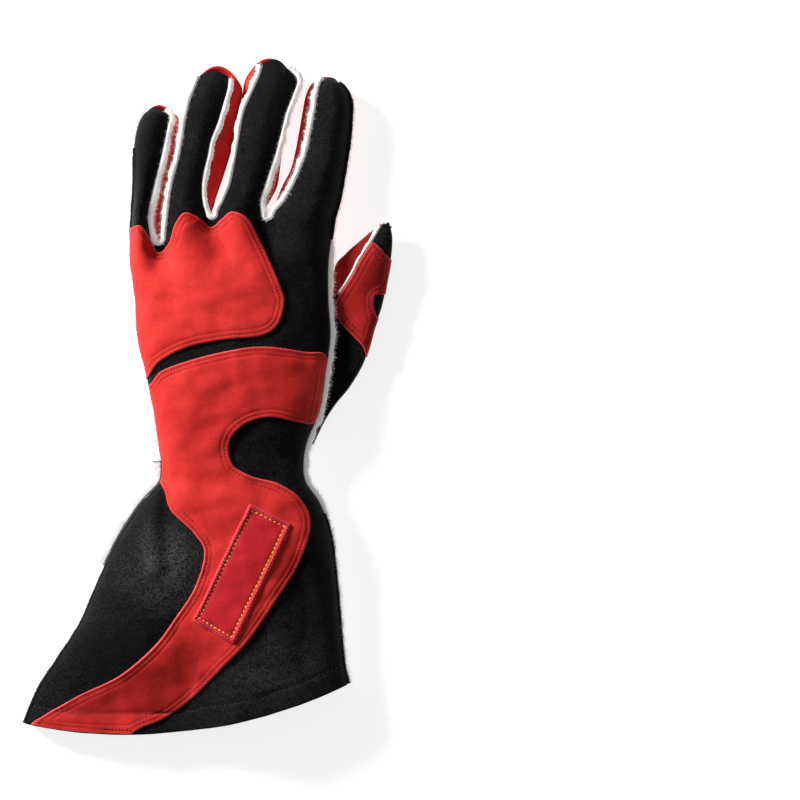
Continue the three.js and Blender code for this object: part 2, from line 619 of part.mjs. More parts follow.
// Gathers of the elastic on the palm side of the wrist.
function gather(column, y) {
  const near = Math.exp(-(((y + 29) / 17) ** 2));
  return (column % 2 ? 1 : -1) * GATHER_HEIGHT * near;
}

// Red palm with the finger fronts. Right of column PALM_SPLIT it ends at the gusset seam.
const PALM_SPLIT = 12;
const PALM_UPPER = 4;
const PALM_LOWER = 9;
const PALM_WRIST_Y = -28;
const SEAM_HALF = 1.3;

function gussetX(y) {
  const rising = [{ gx: 28.6, gy: -30 }, ...THUMB_INNER.slice(0, 6)];
  for (let i = 1; i < rising.length; i += 1) {
    if (y <= rising[i].gy) {
      const t = (y - rising[i - 1].gy) / (rising[i].gy - rising[i - 1].gy);
      return mix(rising[i - 1].gx, rising[i].gx, Math.max(0, t));
    }
  }
  return rising[6].gx;
}

function palmSheet() {
  const sheet = newSheet();
  const grid = [];
  const crease = THUMB_INNER.slice(5, 10).map((row) => {
    return { x: row.gx, y: row.gy + SEAM_HALF + 0.4, z: row.gz };
  });
  crease[0] = { x: 24.6, y: 53, z: PALM_Z };
  crease[4] = { x: 70.6, y: 64.2, z: 9.2 };
  const bend = ROOTS.palm.map((root, k) => {
    if (k <= PALM_SPLIT) {
      const t = handShare(k) / handShare(PALM_SPLIT);
      return { x: mix(-41, crease[0].x, t), y: mix(56, crease[0].y, t) };
    }
    const run = ((k - PALM_SPLIT) / (COLUMNS - 1 - PALM_SPLIT)) * 4;
    const i = Math.min(3, Math.floor(run));
    return { x: mix(crease[i].x, crease[i + 1].x, run - i), y: mix(crease[i].y, crease[i + 1].y, run - i) };
  });
  for (let r = 0; r <= PALM_UPPER; r += 1) {
    const t = r / PALM_UPPER;
    const line = [];
    for (let k = 0; k < COLUMNS; k += 1) {
      const root = ROOTS.palm[k];
      const y = mix(root.y, bend[k].y, t);
      let x = mix(root.x, bend[k].x, t);
      const leftX = lookUp(HAND, 'ly', y, 'lx');
      const rightX = lookUp(HAND, 'ry', y, 'rx');
      if (r > 0 && r < PALM_UPPER) {
        const u = k / (COLUMNS - 1);
        const wantLeft = leftX - mix(ROOTS.palm[0].x, bend[0].x, t);
        const wantRight = rightX - mix(ROOTS.palm[COLUMNS - 1].x, bend[COLUMNS - 1].x, t);
        x += wantLeft * (1 - u) ** 3 + wantRight * u ** 3;
      }
      const root3 = root.finger < 0 ? 4.4 : fingerPalmZ(FINGERS[root.finger], root.share,
        { belly: PALM_Z, rim: 4.4, seam: 9 }, 22);
      const rimL = 9 - SEAM_STACK;
      const rimR = lookUp(HAND, 'ry', y, 'sr') - SEAM_STACK;
      const flat = PALM_Z + palmRise(x - leftX, rimL, PALM_Z) + palmRise(rightX - x, rimR, PALM_Z);
      const z = mix(root3, flat, smoothstep(t * 1.6));
      const side = k === 0 || k === COLUMNS - 1;
      const free = r === 0 || (r === PALM_UPPER && k >= PALM_SPLIT);
      line.push(addPoint(sheet, x, y, z, side ? 1 : (free ? 2 : 0)));
    }
    grid.push(line);
  }
  for (let r = 1; r <= PALM_LOWER; r += 1) {
    const t = r / PALM_LOWER;
    const line = [];
    for (let k = 0; k <= PALM_SPLIT; k += 1) {
      const share = handShare(k) / handShare(PALM_SPLIT);
      const y = mix(mix(56, crease[0].y, share), PALM_WRIST_Y, t);
      const leftX = lookUp(HAND, 'ly', y, 'lx');
      const x = mix(leftX, gussetX(y) - SEAM_HALF, share);
      const belly = lookUp(HAND, 'ly', y, 'belly');
      const rise = palmRise(x - leftX, 9 - SEAM_STACK, belly);
      const z = belly + rise + (k > 0 ? gather(k, y) : 0);
      const edge = k === PALM_SPLIT || r === PALM_LOWER;
      line.push(addPoint(sheet, x, y, z, k === 0 ? 1 : (edge ? 2 : 0)));
    }
    grid.push(line);
  }
  for (let r = 0; r + 1 < grid.length; r += 1) {
    const wide = r < PALM_UPPER ? COLUMNS - 1 : PALM_SPLIT;
    for (let k = 0; k < wide; k += 1) {
      sheet.cells.push([grid[r][k], grid[r][k + 1], grid[r + 1][k + 1], grid[r + 1][k]]);
    }
  }
  const edges = addFingers(sheet, grid[0], 'palm');
  return { sheet, grid, edges };
}

// Palm side of the gauntlet, gathered at the wrist and open at the hem.
function gauntletSheet() {
  const sheet = newSheet();
  const rows = 14;
  const start = 6.25;
  let before = null;
  for (let r = 0; r <= rows; r += 1) {
    const place = mix(start, HAND.length - 1, r / rows);
    const row = rowAt(HAND, place);
    const line = [];
    for (let k = 0; k < COLUMNS; k += 1) {
      const u = handShare(k);
      const x = mix(row.lx, row.rx, u);
      const y = mix(row.ly, row.ry, u) + row.bow * 4 * u * (1 - u);
      const reach = Math.min(x - row.lx, row.rx - x);
      const belly = Math.max(0, row.belly);
      const rim = (u < 0.5 ? row.sl : row.sr) - SEAM_STACK;
      const inside = k > 0 && k < COLUMNS - 1;
      const lift = inside ? gather(k, y) - foldDepth(PALM_FOLDS, x, y) * Math.min(1, reach / 20) : 0;
      const z = Math.max(0, belly + palmRise(reach, rim, belly) + lift);
      const hem = r >= rows - 1 && inside ? HEM_EXTRA : 0;
      line.push(addPoint(sheet, x, y, z, inside ? (r === 0 ? 2 : 0) : 1, hem));
    }
    if (before) {
      for (let k = 0; k + 1 < COLUMNS; k += 1) {
        sheet.cells.push([before[k], before[k + 1], line[k + 1], line[k]]);
      }
    }
    before = line;
  }
  return sheet;
}

const back = backSheet();
const palm = palmSheet();

// Red side strip in one finger slot, from the back strips down to the palm side.
function fourchetteSheet(slot) {
  const sheet = newSheet();
  const at = (source, side, finger, index) => source.sheet.points[source.edges[finger][side][index]];
  const path = [];
  const add = (top, low, dx, dy) => {
    const drop = KNIT_WALL + SEAM_STACK + 0.05;
    const high = new THREE.Vector3(top.x + dx * 0.8, top.y + dy * 0.8, top.z - drop);
    const bottom = new THREE.Vector3(low.x - dx * 0.6, low.y - dy * 0.6, low.z + SUEDE_WALL + GAP);
    path.push([high, bottom, dx, dy]);
  };
  for (let i = back.edges[slot].right.length - 2; i >= 0; i -= 1) {
    add(at(back, 'right', slot, i), at(palm, 'right', slot, i), 1, 0);
  }
  const middle = columnOfSlot(slot);
  const top = back.sheet.points[back.grid[0][middle]];
  const low = palm.sheet.points[palm.grid[0][middle]];
  add(top, low, 0, 1);
  for (let i = 0; i <= back.edges[slot + 1].left.length - 2; i += 1) {
    add(at(back, 'left', slot + 1, i), at(palm, 'left', slot + 1, i), -1, 0);
  }
  let before = null;
  for (const [high, bottom, dx, dy] of path) {
    const line = [0, 0.5, 1].map((t) => {
      const bulge = 4 * t * (1 - t) * 0.8;
      const x = mix(high.x, bottom.x, t) + dx * bulge;
      const y = mix(high.y, bottom.y, t) + dy * bulge;
      return addPoint(sheet, x, y, mix(high.z, bottom.z, t) + bulge * 0.4, t === 0.5 ? 0 : 1);
    });
    if (before) {
      for (let k = 0; k < 2; k += 1) {
        sheet.cells.push([before[k], line[k], line[k + 1], before[k + 1]]);
      }
    }
    before = line;
  }
  return sheet;
}

function columnOfSlot(slot) {
  return ROOTS.back.findIndex((root) => root.finger < 0 && root.share === slot);
}

// Path of the back panel's edge around one slot, for the white lining edge beneath it.
function slotPath(slot) {
  const points = [];
  const right = back.edges[slot].right;
  const left = back.edges[slot + 1].left;
  for (let i = right.length - 2; i >= 0; i -= 1) {
    points.push(back.sheet.points[right[i]]);
  }
  points.push(back.sheet.points[back.grid[0][columnOfSlot(slot)]]);
  for (let i = 0; i <= left.length - 2; i += 1) {
    points.push(back.sheet.points[left[i]]);
  }
  return points.map((point) => ({ x: point.x, y: point.y, z: point.z - KNIT_WALL - GAP }));
}

// Path of one long outseam from fingertip to hem.
function sidePath(side) {
  const finger = side === 'left' ? 0 : 3;
  const column = side === 'left' ? 0 : COLUMNS - 1;
  const edge = back.edges[finger][side];
  const ids = [];
  for (let i = edge.length - 2; i >= 1; i -= 1) {
    ids.push(edge[i]);
  }
  back.grid.forEach((line) => ids.push(line[column]));
  return ids.map((id) => back.sheet.points[id]).map((p) => ({ x: p.x, y: p.y, z: p.z - GAP }));
}

// Thumb: a quarter round from seam to silhouette and another from there to the far seam.
function quarterPoint(start, end, t, swell) {
  const s = Math.sin((Math.PI / 2) * t);
  const c = Math.cos((Math.PI / 2) * t);
  const bulge = swell * Math.sin(Math.PI * t) * Math.min(1, 1.3 * t);
  return {
    x: mix(start.x, end.x, s),
    y: mix(start.y, end.y, s),
    z: end.z + (start.z - end.z) * c + bulge,
  };
}

function thumbBackSheet() {
  const sheet = newSheet();
  let before = null;
  THUMB_BACK.forEach((row, index) => {
    const joined = index < 9;
    const a = { x: row.ax + (joined ? 0.7 : 0), y: row.ay, z: row.az - (joined ? 0.3 : 0) };
    const s = { x: row.sx, y: row.sy, z: row.sz };
    const b = { x: row.bx + SEAM_HALF, y: row.by - SEAM_HALF * 0.6, z: row.bz };
    const swell = joined ? 3.2 : 1.2;
    const line = [];
    for (let k = 0; k <= 4; k += 1) {
      const p = quarterPoint(a, s, k / 4, index === 0 ? 0.5 : swell);
      line.push(addPoint(sheet, p.x, p.y, p.z, k === 0 ? (joined ? 1 : 2) : 0));
    }
    for (let k = 1; k <= 4; k += 1) {
      const p = quarterPoint(b, s, 1 - k / 4, 0);
      line.push(addPoint(sheet, p.x, p.y, p.z, k === 4 ? 2 : 0));
    }
    if (before) {
      for (let k = 0; k + 1 < line.length; k += 1) {
        sheet.cells.push([before[k], before[k + 1], line[k + 1], line[k]]);
      }
    }
    before = line;
  });
  return sheet;
}

function thumbInnerSheet() {
  const sheet = newSheet();
  let before = null;
  THUMB_INNER.forEach((row, index) => {
    const onPalm = index < 9;
    const g = {
      x: row.gx + (onPalm ? SEAM_HALF * 0.9 : 0),
      y: row.gy - (onPalm && index > 5 ? SEAM_HALF * 1.4 : 0),
      z: row.gz,
    };
    const m = { x: row.mx, y: row.my, z: row.mz };
    const b = { x: row.bx - SEAM_HALF * 0.9, y: row.by + SEAM_HALF * 0.8, z: row.bz };
    const line = [];
    for (let k = 0; k <= 3; k += 1) {
      const p = onPalm ? { x: mix(g.x, m.x, k / 3), y: mix(g.y, m.y, k / 3), z: mix(g.z, m.z, k / 3) }
        : quarterPoint(g, m, k / 3, 0.5);
      line.push(addPoint(sheet, p.x, p.y, p.z, k === 0 ? 2 : 0));
    }
    for (let k = 1; k <= 3; k += 1) {
      const p = onPalm ? { x: mix(m.x, b.x, k / 3), y: mix(m.y, b.y, k / 3), z: mix(m.z, b.z, k / 3) }
        : quarterPoint(b, m, 1 - k / 3, 0);
      line.push(addPoint(sheet, p.x, p.y, p.z, k === 3 ? 2 : 0));
    }
    if (before) {
      for (let k = 0; k + 1 < line.length; k += 1) {
        sheet.cells.push([before[k], line[k], line[k + 1], before[k + 1]]);
      }
    }
    before = line;
  });
  return sheet;
}

// White lining edges of the thumb: its upper seam, the gusset seam and the seam under the thumb.
function thumbSeamPath() {
  const end = rowAt(THUMB_BACK, 12.4);
  const rows = [...THUMB_BACK.slice(9, 13), end];
  return rows.map((row) => ({ x: row.ax, y: row.ay, z: row.az - KNIT_WALL - GAP }));
}

function gussetSeamPath() {
  const rows = THUMB_INNER.slice(0, 9);
  return rows.map((row) => ({ x: row.gx, y: row.gy, z: Math.max(1.9, row.gz + 0.9) }));
}

function thumbPalmSeamPath() {
  const rows = THUMB_BACK.slice(1, 12);
  return rows.map((row) => ({ x: row.bx, y: row.by, z: Math.max(1.9, row.bz + 0.9) }));
}

// A piece laid on a sheet: the offset wall cut to an outline.
function laidOn(sheet, outline, lift, thick, bottom, top) {
  const wall = toManifold(thicken(sheet, lift, lift + thick));
  const cutter = toManifold(prism(outline, bottom, top));
  return fromManifold(wall.intersect(cutter));
}

function plainSheet(sheet) {
  return { points: sheet.points, kinds: sheet.kinds, extras: sheet.points.map(() => 0), cells: sheet.cells };
}

const glove = new THREE.Group();
glove.name = 'racing_glove';

function addPiece(name, geometry, color, roughness) {
  const material = new THREE.MeshStandardMaterial({ color, roughness, metalness: 0 });
  const mesh = new THREE.Mesh(geometry, material);
  mesh.name = name;
  glove.add(mesh);
}

const thumbBack = thumbBackSheet();
const thumbInner = thumbInnerSheet();
const overBack = plainSheet(back.sheet);

addPiece('back_panel', thicken(back.sheet, -KNIT_WALL, 0), BLACK, 0.95);
addPiece('palm_panel', thicken(palm.sheet, -SUEDE_WALL, 0), RED, 0.9);
addPiece('gauntlet_palm', thicken(gauntletSheet(), -KNIT_WALL, 0), BLACK, 0.95);
for (let slot = 0; slot < 3; slot += 1) {
  addPiece(`fourchette_${slot + 1}`, thicken(fourchetteSheet(slot), -SUEDE_WALL, 0), RED, 0.9);
  addPiece(`slot_lining_${slot + 1}`, band(slotPath(slot), 1, -0.8, BAND_REACH, BAND_THICK), WHITE, 1);
}
addPiece('thumb_back', thicken(thumbBack, -KNIT_WALL, 0), BLACK, 0.95);
addPiece('thumb_inner', thicken(thumbInner, -SUEDE_WALL, 0), RED, 0.9);

// The lining edge beside the thumb shows below the index finger; above it the seam is flush.
const thumbSide = sidePath('right').map((point) => {
  const share = smoothstep((92 - point.y) / 10);
  return { ...point, to: mix(0.4, BAND_REACH, share) };
});
addPiece('side_lining_thumb', band(thumbSide, 1, -0.8, BAND_REACH, BAND_THICK), WHITE, 1);
const littleSide = sidePath('left');
addPiece('side_lining_little', band(littleSide, -1, -0.8, 0.4, BAND_THICK), WHITE, 1);
const tape = littleSide.filter((point) => point.y < -36 && point.y > -98);
addPiece('side_label', band(tape, -1, 0.4 + GAP, LABEL_REACH, 0.8), WHITE, 0.9);
addPiece('thumb_lining', band(thumbSeamPath(), 1, -0.8, 2.1, BAND_THICK), WHITE, 1);
addPiece('gusset_lining', band(gussetSeamPath(), 1, -0.75, 0.75, STRIP_THICK), WHITE, 1);
addPiece('thumb_palm_lining', band(thumbPalmSeamPath(), 1, -0.7, 0.7, STRIP_THICK), WHITE, 1);

const knuckle = smoothOutline(KNUCKLE_OUTLINE, 2);
const wrist = smoothOutline(WRIST_OUTLINE, 2);
addPiece('knuckle_patch', laidOn(overBack, knuckle, GAP, OVERLAY_WALL, 4, 60), RED, 0.9);
addPiece('wrist_patch', laidOn(overBack, wrist, GAP, OVERLAY_WALL, 4, 60), RED, 0.9);
const labelLift = 2 * GAP + OVERLAY_WALL;
addPiece('label_patch', laidOn(overBack, LABEL_CORNERS, labelLift, 1.3, 4, 60), RED, 0.8);
const thumbPatch = smoothOutline(THUMB_PATCH_OUTLINE, 2);
addPiece('thumb_patch', laidOn(thumbBack, thumbPatch, GAP, OVERLAY_WALL, 9, 60), RED, 0.9);
addPiece('palm_pad', prism(smoothOutline(PAD_OUTLINE, 2), 0, PAD_THICK), PAD_BLACK, 0.95);

// The frame's origin is under the middle of the whole glove, on the floor.
const middle = new THREE.Box3().setFromObject(glove).getCenter(new THREE.Vector3());
glove.children.forEach((mesh) => mesh.geometry.translate(-middle.x, -middle.y, 0));

export default glove;
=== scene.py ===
import math

import bpy
import numpy as np
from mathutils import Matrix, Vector
from mathutils.geometry import delaunay_2d_cdt
from mathutils.kdtree import KDTree


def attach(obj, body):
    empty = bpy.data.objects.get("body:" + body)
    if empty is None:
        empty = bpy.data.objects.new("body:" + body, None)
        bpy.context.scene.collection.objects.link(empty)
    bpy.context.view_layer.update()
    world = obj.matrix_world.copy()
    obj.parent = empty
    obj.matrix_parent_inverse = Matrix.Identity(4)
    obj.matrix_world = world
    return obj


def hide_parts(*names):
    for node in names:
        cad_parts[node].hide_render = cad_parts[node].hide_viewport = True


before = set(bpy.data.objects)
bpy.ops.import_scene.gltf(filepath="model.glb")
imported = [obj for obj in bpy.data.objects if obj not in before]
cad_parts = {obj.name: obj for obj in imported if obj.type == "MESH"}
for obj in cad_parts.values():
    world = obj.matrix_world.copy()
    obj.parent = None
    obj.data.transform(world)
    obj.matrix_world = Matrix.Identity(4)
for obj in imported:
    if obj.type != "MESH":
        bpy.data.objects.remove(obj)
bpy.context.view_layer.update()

# The table that the glove lies on, a pale sheet under soft daylight from the upper left,
# seen from straight above through a long lens.
FLOOR_SIZE = 8.0
VIEW_CENTRE = (0.1117, -0.0024)
VIEW_HEIGHT = 2.2
VIEW_WIDTH = 0.464
GLOVE_MIDDLE = 0.015
SENSOR = 36.0
PAPER_GLOW = 0.8
ROOM_LIGHT = 0.13
# name, power, size, place
LIGHTS = [("window", 92.0, 0.45, (-1.66, 1.14, 0.82)), ("ceiling", 2.5, 2.0, (0.1, 0.1, 2.6))]

scene = bpy.context.scene
scene.view_settings.view_transform = "Standard"
scene.view_settings.look = "None"


def shader_of(material):
    return material.node_tree.nodes["Principled BSDF"]


def feed(node, feeds):
    """Gives sockets of a node a value, or the output of another node that runs into them."""
    for socket, value in feeds.items():
        if isinstance(value, bpy.types.NodeSocket):
            node.id_data.links.new(value, node.inputs[socket])
        else:
            node.inputs[socket].default_value = value


def add_node(owner, kind, feeds, **settings):
    """One node in a material or a tree, with its settings and what its sockets get."""
    tree = getattr(owner, "node_tree", owner)
    node = tree.nodes.new(kind)
    for key, value in settings.items():
        setattr(node, key, value)
    feed(node, feeds)
    return node


def new_material(name, colour, roughness, sheen=0.0, sheen_tint=(1, 1, 1)):
    """A material with its constants on the shader, ready for its texture nodes."""
    material = bpy.data.materials.new(name)
    material.use_nodes = True
    feed(shader_of(material), {"Base Color": (*colour, 1), "Roughness": roughness,
                               "Specular IOR Level": 0.25, "Sheen Weight": sheen,
                               "Sheen Roughness": 0.45, "Sheen Tint": (*sheen_tint, 1)})
    material.diffuse_color = (*colour, 1)
    return material


def object_coordinates(material):
    return add_node(material, "ShaderNodeTexCoord", {}).outputs["Object"]


def noise(material, place, scale, detail, roughness=0.5):
    feeds = {"Scale": scale, "Detail": detail, "Roughness": roughness, "Vector": place}
    return add_node(material, "ShaderNodeTexNoise", feeds).outputs["Fac"]


def noise_spread(material, place, size, low, high, detail=3.0):
    """Soft noise with blobs of a size in metres, stretched between two colours."""
    spots = noise(material, place, 1.0 / size, detail)
    ramp = add_node(material, "ShaderNodeValToRGB", {"Fac": spots})
    for stop, position, colour in zip(ramp.color_ramp.elements, (0.32, 0.68), (low, high)):
        stop.position = position
        stop.color = (*colour, 1)
    return ramp.outputs["Color"]


floor_mesh = bpy.data.meshes.new("table_top")
half = FLOOR_SIZE / 2
floor_mesh.from_pydata([(-half, -half, 0), (half, -half, 0), (half, half, 0), (-half, half, 0)],
                       [], [(0, 1, 2, 3)])
floor = bpy.data.objects.new("table_top", floor_mesh)
scene.collection.objects.link(floor)
paper = new_material("white_paper", (0.6, 0.6, 0.6), 0.9)
paper_tone = noise_spread(paper, object_coordinates(paper), 0.3,
                          (0.595, 0.595, 0.595), (0.605, 0.605, 0.605))
feed(shader_of(paper), {"Base Color": paper_tone, "Emission Color": (1, 1, 1, 1),
                        "Emission Strength": PAPER_GLOW})
floor.data.materials.append(paper)

camera_data = bpy.data.cameras.new("camera")
camera_data.sensor_width = SENSOR
camera_data.lens = SENSOR * VIEW_HEIGHT / VIEW_WIDTH
camera = bpy.data.objects.new("camera", camera_data)
camera.location = (*VIEW_CENTRE, VIEW_HEIGHT + GLOVE_MIDDLE)
scene.collection.objects.link(camera)
scene.camera = camera

for light_name, power, size, place in LIGHTS:
    light_data = bpy.data.lights.new(light_name, "AREA")
    light_data.energy = power
    light_data.size = size
    light = bpy.data.objects.new(light_name, light_data)
    light.location = place
    light.rotation_euler = (Vector((0, 0, 0)) - Vector(place)).to_track_quat("-Z", "Y").to_euler()
    scene.collection.objects.link(light)

world = bpy.data.worlds.new("room")
world.use_nodes = True
feed(world.node_tree.nodes["Background"], {"Color": (1, 1, 1, 1), "Strength": ROOM_LIGHT})
scene.world = world

# Back panel: one piece of thick black knit for the back of the hand, the backs of the fingers
# and the back of the gauntlet. Cut in one, its lower edge turned in and sewn down as a hem.
# Lengths are in millimetres up to the moment that a mesh is made.
# the place of the frame's origin in these millimetres
SHIFT = np.array([0.777, 1.235, 0.0])
KNIT_WALL = 1.7
GAP = 0.32
# how full the back's arch is: 2 is an ellipse, more is flatter on top
HAND_CURVE = 2.4
HEM_EXTRA = 0.9
HEM_WIDTH = 11.5
BAND_THICK = 1.1
SEAM_STACK = BAND_THICK + 2 * GAP
CELLS = 22
ARC_CELLS = 10
HAND_ROWS = 190
FINGER_ROWS = 84
# the hand's row that a finger's curve comes from, and the last number of its columns
ROW_BELOW = 9
LAST_NUMBER = 20
# heights at the finger roots: middle of a finger's back, its cut edges, bottom of the slots
ROOT_CROWN = 22.6
ROOT_EDGE = 17.5
SLOT_HEIGHT = 17.2
# how far a wall's rim swells outward, as a share of the wall
RIM_BULGE = 0.2
# left seam x, y, right seam x, y, bow, crown height, left and right seam height, underside
HAND = np.array([
    (-44.0, 97, 74.4, 103, 0, 24, 9, 9.5, 1.55),
    (-43.7, 79, 71.2, 80, 0, 26, 9, 11, 1.55),
    (-41.0, 58, 71.0, 58, 0, 27, 9, 12, 1.55),
    (-39.2, 34, 72.2, 36, 0, 28, 9, 12, 1.55),
    (-34.0, 12, 69.5, 15, 0, 28, 9, 12, 1.7),
    (-30.0, -8, 66.0, -7, 0, 27, 9, 12, 2.6),
    (-27.5, -25, 58.8, -25, 0, 25, 9, 11, 3.8),
    (-25.3, -40, 56.5, -38, 0, 24, 9, 10, 4.4),
    (-27.0, -50, 58.0, -49, 0, 24, 9, 10, 3.8),
    (-38.0, -62, 66.0, -61, 0, 24.5, 8.5, 9.5, 2.4),
    (-51.0, -82, 72.0, -78, -1, 25.5, 8, 9, 1.0),
    (-62.5, -106, 75.0, -100, -3, 26.5, 7.5, 8.5, 0.3),
    (-73.0, -130, 77.0, -121, -6, 27, 7, 8, 0),
    (-85.5, -150, 78.5, -140, -9, 27.5, 6.5, 8, 0),
    (-97.5, -168, 80.0, -154, -12, 28, 6, 8, 0),
    (-106.5, -189, 82.6, -166, -15, 28.5, 6, 8, 0),
])
LX, LY, RX, RY, BOW, CROWN, SEAM_L, SEAM_R, BELLY = range(9)
# For each finger: the side its outseam is on, where its back strip and its palm side start,
# and rows from root to tip of left y, right y, back strip x from and to, palm side x from and to.
FINGERS = [
    {"outer": "left", "cells": 4,
     "back": ((-44, 97), (-32.2, 91.4)), "palm": ((-43.7, 97), (-23.6, 98)),
     "bows": (1.6, 3.4),
     "rows": [(106, 104, -43.6, -34, -43.6, -23.2), (116, 115, -42.9, -32.4, -42.9, -22.8),
              (127, 127, -42.4, -29.5, -42.4, -19.4), (138, 138, -42.4, -26.8, -42.4, -16.8),
              (149, 149, -41.8, -24.3, -41.8, -15.7), (158, 158, -40, -22.6, -40, -15.7),
              (164, 163.5, -37.2, -21.8, -37.2, -17), (167.4, 166.4, -33.8, -25.2, -33.8, -20.5)]},
    {"outer": "none", "cells": 3,
     "back": ((-23, 91.6), (-0.2, 105.2)), "palm": ((-18.8, 98.5), (3.2, 102)),
     "bows": (2.6, 6),
     "rows": [(105, 113, -21.8, -2.2, -16.7, 4.2), (116, 121, -20.6, -2.8, -14.8, 6.6),
              (127, 130, -18.6, -2, -12.5, 9.7), (138, 140, -15.5, 0.4, -10.2, 12.8),
              (149, 150, -13.3, 2.5, -8.6, 15.7), (160, 160, -11.6, 6.4, -7.6, 18),
              (171, 171, -9.3, 9.6, -6.9, 20), (181, 180, -5.8, 12, -6, 20.3),
              (187.6, 186.4, -3.4, 12.6, -3.4, 17)]},
    {"outer": "none", "cells": 3,
     "back": ((7.3, 105.4), (32, 105)), "palm": ((10, 101.5), (32.4, 107)),
     "bows": (3.8, 4.6),
     "rows": [(114, 114, 10.4, 31.2, 12.6, 36), (123, 123, 14.2, 33.8, 14.4, 40.6),
              (133, 133, 16.4, 37, 15.4, 42.3), (144, 144, 18.4, 40.6, 18, 43.5),
              (155, 155, 20.2, 43.4, 19.2, 45.6), (166, 166, 22.4, 46.2, 20, 48.8),
              (176, 176, 26.6, 50, 20.9, 51.6), (186, 185, 31, 52.4, 22.8, 52.2),
              (194, 191.6, 33.4, 46.6, 28.6, 46.8)]},
    {"outer": "right", "cells": 4,
     "back": ((39.6, 104.8), (74.4, 103)), "palm": ((38.4, 107.5), (74.4, 103)),
     "bows": (1.2, 1.8),
     "rows": [(113, 112, 45.2, 76.8, 40, 76.8), (123, 123, 51, 79.2, 43.9, 79.2),
              (133, 134, 55.3, 81, 49, 81), (144, 145, 59.2, 82.8, 51.8, 82.8),
              (155, 156, 61.5, 84, 53.9, 84), (166, 166, 63.5, 84.7, 55.8, 84.7),
              (176, 174.5, 65, 83.9, 57.8, 83.9), (182.5, 181, 66.6, 80.2, 61, 80.2),
              (185.4, 184.4, 69, 75.8, 65, 75.8)]},
]
SLOTS = {"back": ((-27.5, 88), (3.7, 102.8), (35.6, 102.4)),
         "palm": ((-21.2, 94.5), (6.6, 98.4), (35.4, 103.2))}
# from the tip back: crown, strip edge, outer seam, underside, underside's edge
FINGER_HEIGHTS = np.array([
    (11.4, 10.8, 9.6, 7.2, 7.6), (15.8, 13.0, 9.4, 1.7, 5.0), (18.0, 14.8, 9.2, 0.7, 4.7),
    (18.8, 15.6, 9.0, 0.4, 4.5), (19.2, 15.9, 9.0, 0.4, 4.4), (19.6, 16.1, 9.0, 0.6, 4.4),
    (20.2, 16.3, 9.0, 1.0, 4.4), (21.2, 16.7, 9.0, 1.4, 4.4), (22.2, 17.1, 9.0, 1.55, 4.4)])
# both ends, depth, half width
BACK_FOLDS = [
    (-24, -56, -20, -100, 2.0, 5), (-31, -66, -30, -100, -1.6, 6), (-18, -132, 4, -168, 2.0, 14),
    (52, -96, 60, -150, 1.5, 9), (-18, -46, 34, -52, 1.2, 7), (-23, -88, -28, -120, -2.8, 17),
    (-16, -130, 2, -164, 0.7, 4), (-84, -187, -26, -185, 1.3, 9), (16, -156, 44, -160, 1.0, 5),
    (20, -28, 50, -34, 0.7, 5), (61, -60, 64, -100, -1.5, 12), (-30, 62, 40, 70, -0.5, 9),
    (46, 96, 62, 60, 0.6, 6)]


def mix(a, b, t):
    return a + (b - a) * t


def smoothstep(t):
    t = np.clip(t, 0.0, 1.0)
    return t * t * (3 - 2 * t)


def through(table, places):
    """Smooth curve through the rows of a table, read at fractional row numbers."""
    table = np.asarray(table, float)
    places = np.asarray(places, float)
    i = np.clip(np.floor(places).astype(int), 0, len(table) - 2)
    t = (places - i).reshape((-1,) + (1,) * (table.ndim - 1))
    rows = np.concatenate([[2 * table[0] - table[1]], table, [2 * table[-1] - table[-2]]])
    p0, p1, p2, p3 = (rows[i + k] for k in range(4))
    return 0.5 * (2 * p1 + (p2 - p0) * t + (2 * p0 - 5 * p1 + 4 * p2 - p3) * t * t
                  + (3 * p1 - p0 - 3 * p2 + p3) * t ** 3)


def fold_depth(folds, x, y):
    """Depth of a set of straight soft folds at x, y; a negative depth is a ridge."""
    total = 0.0
    for x0, y0, x1, y1, depth, wide in folds:
        dx, dy = x1 - x0, y1 - y0
        along = np.clip(((x - x0) * dx + (y - y0) * dy) / (dx * dx + dy * dy), 0, 1)
        away = np.hypot(x - x0 - dx * along, y - y0 - dy * along)
        total = total + depth * np.exp(-(away / wide) ** 2)
    return total


def ripple(x, y, size, seed):
    """Gentle unevenness of soft cloth: a few crossing waves, about -1 to 1."""
    draw = np.random.default_rng(seed)
    total = 0.0
    for _ in range(7):
        turn = draw.uniform(0, 2 * math.pi)
        phase = draw.uniform(0, 2 * math.pi)
        wave = size * draw.uniform(0.7, 1.5)
        total = total + np.sin((x * math.cos(turn) + y * math.sin(turn)) * 2 * math.pi / wave + phase)
    return total / 3.2


def finger_shares(finger):
    """Shares across a finger at which its numbered columns lie."""
    if finger["outer"] == "left":
        return np.array([0, 0.14, 0.42, 0.72, 1])
    if finger["outer"] == "right":
        return np.array([0, 0.28, 0.58, 0.86, 1])
    return np.array([0, 0.33, 0.67, 1])


def finger_back_z(finger, share, crown, edge, seam):
    """Height of a finger's back: round over the middle, low on the side of an outseam."""
    lift = np.sin(np.pi * share).clip(0)
    high = edge + (crown - edge) * lift ** 0.85
    low = seam + (crown - seam) * lift ** 0.62
    if finger["outer"] == "left":
        return np.where(share < 0.5, low, high)
    if finger["outer"] == "right":
        return np.where(share > 0.5, low, high)
    return high


